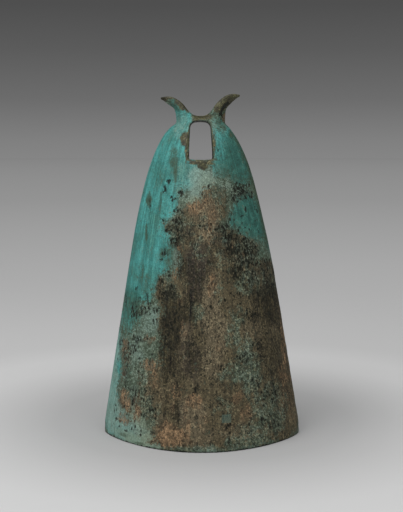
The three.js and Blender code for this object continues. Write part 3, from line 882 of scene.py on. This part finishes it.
def refine_ends(points, faces):
    """Splits the faces of the crown and the rim, and settles their new points on the shape."""
    mesh = bpy.data.meshes.new("coarse")
    mesh.from_pydata(points.tolist(), [], faces.tolist())
    shape = bmesh.new()
    shape.from_mesh(mesh)
    split = [f for f in shape.faces if not RIM_TO < f.calc_center_median().z < CROWN_FROM]
    edges = list({e for f in split for e in f.edges})
    bmesh.ops.subdivide_edges(shape, edges=edges, cuts=1, use_grid_fill=True)
    fine = np.array([v.co[:] for v in shape.verts])
    faces = [[v.index for v in f.verts] for f in shape.faces]
    shape.free()
    bpy.data.meshes.remove(mesh)
    return settle(bell_distance, fine), faces


def skin(points):
    """Points moved in from the smooth shape by the relief."""
    slope = steepness(bell_distance, points)
    slope /= np.linalg.norm(slope, axis=1)[:, None] + 1e-9
    return points - slope * relief(points, slope, paint(points))[:, None]


def seat_height(x, gap):
    """The height of a horn's seat at a distance x from the middle."""
    return CROWN_HEIGHT + SEAT_RISE - gap - SEAT_SLOPE_SHARE * (x - HORN_ROOT_OFFSET)


def horn_tool(side, gap):
    """The space that one horn takes: all that is over its seat, and its tenon."""
    top = CROWN_HEIGHT + TOOL_RISE
    over = [(TOOL_NEAR, seat_height(TOOL_NEAR, gap)), (TOOL_FAR, seat_height(TOOL_FAR, gap)),
            (TOOL_FAR, top), (TOOL_NEAR, top)]
    half = TENON_WIDTH / 2 + gap
    peg = rectangle(HORN_ROOT_OFFSET - half, HORN_ROOT_OFFSET + half,
                    WINDOW_HEAD - TENON_OVERRUN, CROWN_HEIGHT + 2 * SEAT_RISE)
    block = prism("space", [(side * x, z) for x, z in over], TOOL_HALF_DEPTH)
    cut(block, [prism("tenon", [(side * x, z) for x, z in peg], TENON_DEPTH / 2 + gap)], "UNION")
    return block


def spacer_tool(face, level, side, gap):
    """The space that one core spacer takes, right through its wall."""
    x, half, tall = side * SPACER_OFFSET, SPACER_WIDTH / 2 + gap, SPACER_HEIGHT / 2 + gap
    outline = rectangle(x - half, x + half, level - tall, level + tall)
    return prism("space", outline, SPACER_TOOL_HALF_DEPTH, SPACER_TOOL_MIDDLE * face)


def store(piece, name, values):
    """Keeps three values for each point on the piece's mesh."""
    layer = piece.data.attributes.new(name, "FLOAT_VECTOR", "POINT")
    layer.data.foreach_set("vector", values.ravel())


def dress(piece, node, material):
    """Gives a piece its lean, its paint, its material and its place in the frame."""
    points = points_of(piece)
    coat = paint(points)
    for name, parts in LAYERS.items():
        store(piece, name, np.stack([coat[part] for part in parts], 1))
    spread = FLOW_HALF_WIDTH / half_width_at(points[:, 2], OUTLINE)
    store(piece, "flow", points * np.stack([spread, spread, np.ones(len(points))], 1))
    piece.data.vertices.foreach_set("co", (lean(points) * MM).ravel())
    piece.data.update()
    piece.data.shade_smooth()
    piece.data.set_sharp_from_angle(angle=math.radians(SHARP_ANGLE))
    piece.data.materials.clear()
    piece.data.materials.append(material)
    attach(piece, "root")
    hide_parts(node)


def local_piece(name, low, high, tool):
    """A closed piece of the bell's metal inside a box, with the wall's relief, trimmed by a tool."""
    def shape(p):
        sides = [np.maximum(a - c, c - b) for a, b, c in zip(low, high, p)]
        return np.maximum(bell_distance(p), np.maximum(np.maximum(sides[0], sides[1]), sides[2]))
    start = tuple(c - 2 * LOCAL_STEP for c in low)
    end = tuple(c + 2 * LOCAL_STEP for c in high)
    points, faces = surface_net(shape, start, end, LOCAL_STEP)
    piece = mesh_object(name, skin(points), faces)
    cut(piece, [tool], "INTERSECT")
    return piece


def make_horn(name, side, material):
    """One horn with its tenon, and the space that the wall leaves for it."""
    near, far = sorted((HORN_BOX_NEAR * side, HORN_BOX_FAR * side))
    low = (near, -HORN_BOX_HALF_DEPTH, WINDOW_HEAD - HORN_BOX_DROP)
    high = (far, HORN_BOX_HALF_DEPTH, CROWN_HEIGHT + HORN_ROOM)
    piece = local_piece(name + "_horn_cast", low, high, horn_tool(side, 0.0))
    dress(piece, name + "_horn", material)
    return horn_tool(side, SEAM_GAP)


def make_spacer(name, face, level, side, material):
    """One core spacer, and the space that the wall leaves for it."""
    x, reach = side * SPACER_OFFSET, SPACER_WIDTH
    near, far = sorted((face * SPACER_BOX_NEAR, face * (MOUTH_HALF_DEPTH + MARGIN)))
    low, high = (x - reach, near, level - reach), (x + reach, far, level + reach)
    piece = local_piece(name + "_plate", low, high, spacer_tool(face, level, side, 0.0))
    dress(piece, name, material)
    return spacer_tool(face, level, side, SEAM_GAP)


def make_pieces(body_material, horn_material, spacer_material):
    """The wall, the horns and the core spacers."""
    low = (-MOUTH_HALF_WIDTH - MARGIN, -MOUTH_HALF_DEPTH - MARGIN, -MARGIN)
    high = (MOUTH_HALF_WIDTH + MARGIN, MOUTH_HALF_DEPTH + MARGIN, CROWN_HEIGHT + HORN_ROOM)
    points, faces = refine_ends(*surface_net(bell_distance, low, high, STEP))
    wall = mesh_object("bell_body", skin(points), faces)
    thin_inside(wall, paint(points))
    spaces = [make_horn(name, side, horn_material) for name, side in SIDES.items()]
    for face_name, face in FACES.items():
        for level_name, level in SPACER_LEVELS.items():
            for side_name, side in SIDES.items():
                name = f"spacer_{face_name}_{level_name}_{side_name}"
                spaces.append(make_spacer(name, face, level, side, spacer_material))
    cut(wall, spaces, "DIFFERENCE")
    dress(wall, "bell_wall", body_material)


def colour(red, green, blue):
    """A colour written as a screen shows it, from 0 to 255."""
    values = [c / 255 for c in (red, green, blue)]
    return tuple(c / 12.92 if c <= 0.04045 else ((c + 0.055) / 1.055) ** 2.4 for c in values) + (1.0,)


# The layers of a mesh that hold the strength of its stains and painted shade, three to a layer
LAYERS = {
    "paint_a": ("teal", "deep", "pale"), "paint_b": ("crust", "green", "rust"),
    "paint_c": ("dark", "purple", "khaki"), "paint_d": ("pits_and_shade", "olive", "wear_and_shade"),
    "paint_e": ("border", "inside", "sheet"),
}
# The flow is the place of a point if the bell were this wide all the way up, so streaks follow the flanks
FLOW_HALF_WIDTH = 60.0

# Noises that are the same all round, as (size, detail, roughness, distortion)
EVEN_NOISES = ((15, 3, 0.55, 0), (5, 3, 0.6, 0.4), (1.9, 2, 0.65, 0.3), (0.7, 1, 0.5, 0))
# Noises on the flow, as (scale along the height, shift, size, detail, roughness, distortion)
FLOW_NOISES = (
    (0.05, (0, 0, 0), 4.5, 2, 0.5, 0), (0.03, (0, 0, 0), 1.1, 2, 0.6, 0), (0.04, (31, 7, 3), 0.9, 1, 0.5, 0),
    (0.14, (5, 60, 12), 2.4, 2, 0.6, 0), (0.8, (17, 2, 44), 1.4, 2, 0.75, 0.3),
)
# The grains of the crust, as (shift, size), then the width of a flake, the spacing of pits and the bumps' depth
GRAINS = (((0, 0, 0), 1.5), ((40, 11, 5), 1.1), ((9, 53, 21), 0.75))
FLAKE = 2.7
PIT_SPACING = 2.1
BUMP_DEPTH = 0.45


class Value:
    """A number that nodes work out, which is added, subtracted and multiplied like any number."""

    def __init__(self, nodes, socket):
        self.nodes = nodes
        self.socket = socket

    def __add__(self, other):
        return self.nodes.math("ADD", self, other)

    def __radd__(self, other):
        return self.nodes.math("ADD", other, self)

    def __sub__(self, other):
        return self.nodes.math("SUBTRACT", self, other)

    def __rsub__(self, other):
        return self.nodes.math("SUBTRACT", other, self)

    def __mul__(self, other):
        return self.nodes.math("MULTIPLY", self, other)

    def swing(self, amount):
        """A noise value moved to go from minus to plus amount."""
        return (self - 0.5) * (2 * amount)

    def step(self, middle, width):
        """A smooth step from 0 to 1, half of it at the middle."""
        inputs = {"Value": self, "From Min": middle - width, "From Max": middle + width}
        return self.nodes.value("ShaderNodeMapRange", inputs, interpolation_type="SMOOTHSTEP")


class Nodes:
    """The nodes of a material or of the world, with a short call for each kind that is used here."""

    def __init__(self, tree):
        self.tree = tree

    def put(self, socket, value):
        """Feeds a socket with a value, another socket, a colour from 0 to 255 or a constant."""
        if isinstance(value, Value):
            value = value.socket
        if isinstance(value, bpy.types.NodeSocket):
            self.tree.links.new(value, socket)
        elif socket.type == "RGBA":
            socket.default_value = colour(*value)
        else:
            socket.default_value = value

    def node(self, kind, inputs=None, **settings):
        node = self.tree.nodes.new(kind)
        for key, value in settings.items():
            setattr(node, key, value)
        for key, value in (inputs or {}).items():
            self.put(node.inputs[key], value)
        return node

    def value(self, kind, inputs=None, output=0, **settings):
        return Value(self, self.node(kind, inputs, **settings).outputs[output])

    def math(self, operation, a, b=0.0):
        return self.value("ShaderNodeMath", {0: a, 1: b}, operation=operation)

    def stored(self, name):
        """Three values that are stored on the mesh."""
        layer = self.node("ShaderNodeAttribute", attribute_name=name, attribute_type="GEOMETRY")
        return layer.outputs["Vector"]

    def stretch(self, where, scale, shift=(0, 0, 0)):
        return self.node("ShaderNodeMapping", {"Vector": where, "Scale": scale, "Location": shift}).outputs[0]

    def noise(self, where, size, detail, roughness, distortion):
        inputs = {"Vector": where, "Scale": 1 / size, "Detail": detail, "Roughness": roughness,
                  "Distortion": distortion}
        return self.value("ShaderNodeTexNoise", inputs)

    def cells(self, where, size, feature="F1"):
        """Cells of about a size."""
        inputs = {"Vector": where, "Scale": 1 / size, "Randomness": 1.0}
        return self.node("ShaderNodeTexVoronoi", inputs, feature=feature)

    def chance(self, cells):
        """A random value for each cell."""
        return self.value("ShaderNodeSeparateColor", {0: cells.outputs["Color"]})

    def grey(self, value):
        return self.node("ShaderNodeCombineColor", {0: value, 1: value, 2: value}).outputs[0]

    def blend(self, share, a, b, mode="MIX"):
        inputs = {0: share, 6: a, 7: b}
        return self.node("ShaderNodeMix", inputs, data_type="RGBA", blend_type=mode).outputs[2]

    def grey_ramp(self, value, steps):
        """A colour that follows a value through steps of (place from 0 to 1, grey as a screen value)."""
        node = self.node("ShaderNodeValToRGB", {0: value})
        while len(node.color_ramp.elements) < len(steps):
            node.color_ramp.elements.new(0.5)
        for element, (place, grey) in zip(node.color_ramp.elements, steps):
            element.position = place
            element.color = colour(grey, grey, grey)
        return node.outputs[0]

    def seen_directly(self):
        """1 for what the camera sees, straight or in a reflection, and 0 for the light on the object."""
        rays = self.node("ShaderNodeLightPath").outputs
        seen = self.math("MAXIMUM", rays["Is Camera Ray"], rays["Is Glossy Ray"])
        return self.math("MAXIMUM", seen, rays["Is Transmission Ray"])


def new_material(name):
    """A material, its nodes and the inputs of its shader."""
    material = bpy.data.materials.new(name)
    material.use_nodes = True
    tree = material.node_tree
    return material, Nodes(tree), tree.nodes["Principled BSDF"].inputs


TEAL_LIGHT = (76, 154, 149)
TEAL_MIDDLE = (56, 126, 121)
TEAL_DARK = (46, 104, 98)
TEAL_OLIVE = (62, 106, 92)
TEAL_PALE = (104, 166, 146)
DEEP_LIGHT = (54, 112, 101)
DEEP_DARK = (38, 80, 72)
GREEN_LIGHT = (110, 125, 110)
GREEN_MIDDLE = (80, 96, 80)
GREEN_DARK = (60, 72, 56)
PALE = (131, 156, 145)
PALE_DARK = (106, 130, 118)
PALE_WARM = (136, 142, 112)
SHEET = (84, 111, 101)
BROWN_LIGHT = (118, 108, 84)
BROWN = (82, 74, 54)
KHAKI = (95, 86, 67)
DARK = (37, 33, 18)
PURPLE = (54, 47, 41)
RUST = (122, 98, 72)
RUST_DARK = (84, 68, 50)
RUST_LIGHT = (156, 126, 94)
# Black for pits, specks and veins, and for the painted shadow at the rim's foot and in the right horn's crease
PIT_AND_SHADE = (19, 21, 12)
OLIVE = (56, 70, 50)
# Worn metal colours, which also paint shade on the windows' rounded edges
WORN_AND_SHADE = (66, 67, 44)
WORN_AND_SHADE_DARK = (46, 42, 26)
WORN_LIGHT = (116, 112, 80)
EARTH = (52, 48, 38)


def patina(name, sheet=0.0):
    """Old cast bronze: streaked turquoise, grey green, a brown crust, dark pits, worn metal and painted shade.
    """
    material, t, shader = new_material(name)
    where = t.stretch(t.node("ShaderNodeTexCoord").outputs["Object"], (1 / MM, 1 / MM, 1 / MM))
    flow = t.stored("flow")
    layers = [t.node("ShaderNodeSeparateXYZ", {0: t.stored(layer)}).outputs for layer in LAYERS]
    stains = [Value(t, layer[part]) for layer in layers for part in range(3)]
    teal, deep, pale, crust, green, rust, dark, purple, khaki, pits_and_shade, olive, wear_and_shade, rim, inside, plate = stains

    patch, mottle, speckle, dust = (t.noise(where, *layer) for layer in EVEN_NOISES)
    wide_streak, fine_streak, thin_streak, fibres, crumbs = (
        t.noise(t.stretch(flow, (1, 1, down), shift), *layer) for down, shift, *layer in FLOW_NOISES)
    ragged = mottle.swing(0.4) + speckle.swing(0.6) + dust.swing(0.25) + fibres.swing(0.3) + crumbs.swing(0.5)

    # Turquoise with streaks that run down the flanks
    shade = wide_streak + fine_streak.swing(0.6) + patch.swing(0.6) + speckle.swing(0.2)
    smooth = t.blend(shade.step(0.4, 0.3), TEAL_DARK, TEAL_MIDDLE)
    smooth = t.blend(shade.step(0.68, 0.3), smooth, TEAL_LIGHT)
    line = (thin_streak + patch.swing(0.25)).step(0.34, 0.07)
    smooth = t.blend((1.0 - line) * 0.5, smooth, TEAL_OLIVE)
    smooth = t.blend((mottle + dust.swing(0.3)).step(0.7, 0.16) * 0.25, smooth, TEAL_OLIVE)
    gleam = (thin_streak + patch.swing(-0.25)).step(0.65, 0.07)
    smooth = t.blend(gleam * 0.3, smooth, TEAL_PALE)
    old = t.blend((mottle + fine_streak.swing(0.5)).step(0.5, 0.22), DEEP_DARK, DEEP_LIGHT)
    smooth = t.blend((deep + patch.swing(0.5) + mottle.swing(0.3)).step(0.5, 0.35), smooth, old)

    # Grey green that has lost its turquoise
    drab_green = t.blend((mottle + speckle.swing(0.8)).step(0.5, 0.25), GREEN_DARK, GREEN_MIDDLE)
    glint = (speckle + dust.swing(0.5) + patch.swing(0.3)).step(0.62, 0.14)
    drab_green = t.blend(glint, drab_green, GREEN_LIGHT)
    border = (rim + mottle.swing(0.4) + fine_streak.swing(0.3)).step(0.5, 0.5)
    coat = t.blend((teal + ragged + border * -0.47).step(0.42, 0.34), drab_green, smooth)
    paleness = (pale + mottle.swing(0.4) + speckle.swing(0.4) + dust.swing(0.2)).step(0.6, 0.6)
    faded = t.blend((fine_streak + crumbs.swing(0.9) + mottle.swing(0.3)).step(0.45, 0.25), PALE_DARK, PALE)
    faded = t.blend(khaki * 0.7, faded, PALE_WARM)
    coat = t.blend(paleness * 0.85, coat, faded)
    drab = olive + mottle.swing(0.5) + fine_streak.swing(0.6) + crumbs.swing(0.4)
    coat = t.blend(drab.step(0.6, 0.42) * 0.85, coat, OLIVE)

    # Crust, grain by grain
    down = t.stretch(flow, (1, 1, 0.75))
    warp = t.node("ShaderNodeTexNoise", {"Vector": down, "Scale": 0.8, "Detail": 1.0}).outputs["Color"]
    bent = t.node("ShaderNodeVectorMath", {0: down, 1: warp}, operation="ADD").outputs[0]
    coarse, medium, small = (
        t.chance(t.cells(t.stretch(bent, (1, 1, 1), shift), size)) for shift, size in GRAINS)
    earth = t.blend((khaki + ragged).step(0.5, 0.4), BROWN, KHAKI)
    earth = t.blend((purple + ragged).step(0.55, 0.45) * 0.85, earth, PURPLE)
    greens = green * 0.7 + coarse * 0.18 + mottle.swing(0.8) + crumbs.swing(0.3)
    earth = t.blend(greens.step(0.5, 0.25) * 0.85, earth, drab_green)
    shadows = dark * 0.72 + medium * 0.2 + mottle.swing(0.6) + crumbs.swing(0.9) + fibres.swing(0.6)
    earth = t.blend(shadows.step(0.52, 0.22) * 0.9, earth, DARK)
    lights = khaki * 0.12 + small * 0.9 + mottle.swing(0.4) + fibres.swing(0.3) + crumbs.swing(-0.4)
    lit = lights.step(0.78, 0.16)
    earth = t.blend(lit * (dark * -0.2 + 0.3), earth, BROWN_LIGHT)
    cover = (crust + ragged + crumbs.swing(0.4)).step(0.5, 0.24)
    coat = t.blend(cover, coat, earth)

    # Rust red
    reds = rust + mottle.swing(0.7) + medium.swing(0.15) + crumbs.swing(0.5) + fibres.swing(0.6)
    red = t.blend((mottle + crumbs.swing(0.8)).step(0.5, 0.25), RUST_DARK, RUST)
    red = t.blend((rust + mottle.swing(0.3)).step(0.98, 0.12) * 0.6, red, RUST_LIGHT)
    rusty = reds.step(0.7, 0.4) * 0.85
    coat = t.blend(rusty, coat, red)

    # Black specks and the light and dark of the grains, over crust and rust
    rugged = t.math("MAXIMUM", cover, rusty)
    specks = (medium + mottle.swing(0.6) + crumbs.swing(1.0) + dark * 0.06).step(0.87, 0.14)
    coat = t.blend(specks * 0.8 * rugged, coat, PIT_AND_SHADE)
    streaks = dark * (fine_streak.swing(1.2) + crumbs.swing(1.6) + fibres.swing(0.9) + dust.swing(0.6))
    tone = 0.95 + dust.swing(0.15) + fibres.swing(0.55) + crumbs.swing(0.8) + mottle.swing(0.25)
    tone = tone + wide_streak.swing(0.3) + lit * 0.42 + small.swing(0.16) + streaks
    coat = t.blend(rugged, coat, t.grey(tone), "MULTIPLY")

    # Dark veins round the flakes
    flakes = t.cells(t.stretch(bent, (1, 1, 1), (21, 5, 70)), FLAKE, "DISTANCE_TO_EDGE")
    vein = (crumbs.swing(0.3) - flakes.outputs["Distance"]).step(-0.11, 0.05)
    veined = pits_and_shade * 0.8 + green * 0.22 + dark * 0.15 + mottle.swing(1.0)
    coat = t.blend(vein * veined.step(0.62, 0.2) * 0.7, coat, PIT_AND_SHADE)
    if sheet:
        coat = t.blend(plate * sheet, coat, SHEET)

    # Dark pits, and the painted shadow along the rim's foot and in the right horn's crease
    dots = t.cells(t.stretch(where, (1, 1, 0.75), (3, 8, 29)), PIT_SPACING)
    chosen = (pits_and_shade + mottle.swing(0.4) + t.chance(dots) * -0.75).step(0.12, 0.08)
    round_dot = (crumbs.swing(0.6) - dots.outputs["Distance"]).step(-0.42, 0.12)
    solid = (pits_and_shade + crumbs.swing(0.1)).step(0.96, 0.03)
    hole_and_shade = t.math("MAXIMUM", chosen * round_dot, solid)
    coat = t.blend(hole_and_shade * 0.92, coat, PIT_AND_SHADE)

    # Bare metal where it was handled, and painted shade in the same colours on the windows' rounded edges
    metal = t.blend((mottle + speckle.swing(0.6)).step(0.5, 0.25), WORN_AND_SHADE_DARK, WORN_AND_SHADE)
    metal = t.blend((small + mottle.swing(0.6)).step(0.86, 0.05) * 0.8, metal, WORN_LIGHT)
    metal = t.blend((dark + ragged).step(0.5, 0.3) * 0.75, metal, DARK)
    bare_and_shade = (wear_and_shade + ragged).step(0.55, 0.25) * (1.0 - solid)
    coat = t.blend(bare_and_shade, coat, metal)

    # Earth inside the hollow
    lining = t.blend((mottle + speckle.swing(0.8)).step(0.5, 0.3), EARTH, GREEN_DARK)
    coat = t.blend(inside * 0.85, coat, lining)

    # Grain too fine to have a shape of its own
    coat = t.blend(1.0, coat, t.grey(1.0 + dust.swing(0.48) + speckle.swing(0.26)), "MULTIPLY")
    rough = 0.62 + cover * 0.2 + hole_and_shade * 0.1 + speckle.swing(0.12) - bare_and_shade * 0.14
    height = cover * 0.5 + cover * coarse * 0.45 + speckle * 0.6 + fine_streak * 0.15
    height = height + hole_and_shade * -0.9 + dust * 0.2
    bump = t.node("ShaderNodeBump", {"Height": height, "Strength": 0.7, "Distance": BUMP_DEPTH * MM})
    t.put(shader["Base Color"], coat)
    t.put(shader["Roughness"], rough)
    t.put(shader["Specular IOR Level"], 0.3)
    t.put(shader["Normal"], bump.outputs[0])
    return material


# The camera, with angles in degrees
CAMERA_DISTANCE = 720.0
CAMERA_YAW = 1.5
CAMERA_ELEVATION = 6.425
CAMERA_SIDE = -0.07
AIM_HEIGHT = 126.8
FOCAL_PIXELS = 1018.6
IMAGE_HEIGHT_PIXELS = 512
SENSOR = 36.0


def direction(azimuth, elevation):
    """The way from the bell to a place round it, at angles in degrees."""
    a, e = math.radians(azimuth), math.radians(elevation)
    return Vector((math.sin(a) * math.cos(e), -math.cos(a) * math.cos(e), math.sin(e)))


def aim(name, data, location, back):
    """Puts a camera or a lamp at a place in metres, turned to look against the direction back."""
    item = add_object(name, data)
    item.location = location
    item.rotation_mode = "QUATERNION"
    item.rotation_quaternion = (-back).to_track_quat("-Z", "Y")
    return item


def make_camera():
    back = direction(CAMERA_YAW, CAMERA_ELEVATION)
    right = direction(CAMERA_YAW + 90, 0)
    data = bpy.data.cameras.new("camera")
    data.sensor_width = SENSOR
    data.lens = SENSOR * FOCAL_PIXELS / IMAGE_HEIGHT_PIXELS
    data.clip_start, data.clip_end = 0.01, 100
    eye = Vector((0, 0, AIM_HEIGHT)) + right * CAMERA_SIDE + back * CAMERA_DISTANCE
    bpy.context.scene.camera = aim("camera", data, eye * MM, back)


# The floor, in metres
FLOOR_REACH = 12.0
FLOOR_TURNS = 96
FLOOR_RINGS = 24
# The floor's grey at a distance from the bell, in metres and as one screen value: darker close to the bell as
# painted shadow round its base, and lighter about 0.2 m out as a ring of painted light
FLOOR_GREYS = [
    (0.06, 170), (0.11, 171), (0.14, 180), (0.17, 189), (0.2, 196), (0.24, 198), (0.3, 191), (12.0, 190),
]
FLOOR_CENTRE = 0.04
# The grey that the floor shows to the camera further out, where it turns into the backdrop
FAR_GREYS = [(0.3, 184), (0.61, 175), (1.23, 163), (2.9, 147), (10.8, 133), (12.0, 130)]
FAR_FROM, FAR_FULL = 0.35, 1.0
OCTAVES = 8
OCTAVE_SHIFT = 0.55


def octave_steps(greys):
    """Steps of grey over the logarithm of a distance, for a ramp from 0 to 1."""
    return [(math.log2(reach) / OCTAVES + OCTAVE_SHIFT, grey) for reach, grey in greys]


def make_floor():
    """A round, pale floor with painted shadow close round the bell and a ring of painted light about 0.2 m out,
    which gets a little darker further away.
    """
    angles = [2 * math.pi * n / FLOOR_TURNS for n in range(FLOOR_TURNS)]
    points, faces = [(0, 0, 0)], []
    for ring in range(1, FLOOR_RINGS + 1):
        radius = FLOOR_REACH * (ring / FLOOR_RINGS) ** 3
        points += [(radius * math.cos(a), radius * math.sin(a), 0) for a in angles]
    for n in range(FLOOR_TURNS):
        m = (n + 1) % FLOOR_TURNS
        faces.append((0, 1 + n, 1 + m))
        for ring in range(FLOOR_RINGS - 1):
            inner, outer = 1 + ring * FLOOR_TURNS, 1 + (ring + 1) * FLOOR_TURNS
            faces.append((inner + n, outer + n, outer + m, inner + m))
    mesh = bpy.data.meshes.new("floor")
    mesh.from_pydata(points, [], faces)
    floor = add_object("floor", mesh)

    material, t, shader = new_material("floor_paper")
    place = t.node("ShaderNodeTexCoord").outputs["Object"]
    flat = t.node("ShaderNodeVectorMath", {0: place, 1: (1, 1, 0), 2: (0, -FLOOR_CENTRE, 0)},
                  operation="MULTIPLY_ADD").outputs[0]
    length = t.value("ShaderNodeVectorMath", {0: flat}, "Value", operation="LENGTH")
    along = t.math("DIVIDE", t.math("LOGARITHM", length, 2.0), OCTAVES) + OCTAVE_SHIFT
    t.put(shader["Base Color"], t.grey_ramp(along, octave_steps(FLOOR_GREYS)))
    t.put(shader["Roughness"], 0.9)
    t.put(shader["Specular IOR Level"], 0.1)
    far = t.node("ShaderNodeEmission", {"Color": t.grey_ramp(along, octave_steps(FAR_GREYS))})
    share = t.value("ShaderNodeMapRange", {"Value": length, "From Min": FAR_FROM, "From Max": FAR_FULL},
                    interpolation_type="SMOOTHSTEP")
    near = t.tree.nodes["Principled BSDF"].outputs[0]
    mix = t.node("ShaderNodeMixShader", {0: share * t.seen_directly(), 1: near, 2: far.outputs[0]})
    t.put(t.tree.nodes["Material Output"].inputs["Surface"], mix.outputs[0])
    mesh.materials.append(material)


# The backdrop's grey at the sine of an angle above the horizon
SKY_GREYS = [(-0.02, 134), (0.0, 128), (0.04, 108), (0.088, 91), (0.129, 79), (0.5, 60)]
WORLD_LIGHT = 0.4
WHITE = (255, 255, 255)


def make_world():
    """Even light, and a grey backdrop that gets darker upward, which only the camera and reflections see."""
    world = bpy.data.worlds.new("studio")
    world.use_nodes = True
    t = Nodes(world.node_tree)
    t.tree.nodes.clear()
    low, high = SKY_GREYS[0][0], SKY_GREYS[-1][0]
    place = t.node("ShaderNodeTexCoord").outputs["Generated"]
    height = t.node("ShaderNodeSeparateXYZ", {0: place}).outputs["Z"]
    spread = t.value("ShaderNodeMapRange", {"Value": height, "From Min": low, "From Max": high})
    steps = [((height - low) / (high - low), grey) for height, grey in SKY_GREYS]
    light = t.node("ShaderNodeBackground", {"Color": WHITE, "Strength": WORLD_LIGHT}).outputs[0]
    backdrop = t.node("ShaderNodeBackground", {"Color": t.grey_ramp(spread, steps)}).outputs[0]
    mix = t.node("ShaderNodeMixShader", {0: t.seen_directly(), 1: light, 2: backdrop})
    t.node("ShaderNodeOutputWorld", {"Surface": mix.outputs[0]})
    bpy.context.scene.world = world


# Each lamp's direction round the bell and up from the horizon in degrees, its distance and size in metres and
# its power in watts
LAMPS = {
    "key": {"azimuth": -40, "elevation": 42, "distance": 1.6, "size": 1.5, "power": 14.5},
    "fill": {"azimuth": 50, "elevation": 34, "distance": 1.8, "size": 1.6, "power": 5},
    "top": {"azimuth": -5, "elevation": 74, "distance": 1.5, "size": 1.6, "power": 11},
}
LAMP_AIM = 0.12


def make_lamps():
    for name, lamp in LAMPS.items():
        back = direction(lamp["azimuth"], lamp["elevation"])
        data = bpy.data.lights.new(name, "AREA")
        data.size = lamp["size"]
        data.energy = lamp["power"]
        aim(name, data, Vector((0, 0, LAMP_AIM)) + back * lamp["distance"], back)


bpy.context.scene.view_settings.view_transform = "Standard"
make_camera()
make_pieces(patina("body_patina"), patina("horn_patina"), patina("spacer_patina", sheet=0.4))
make_floor()
make_world()
make_lamps()

bpy.context.view_layer.update()
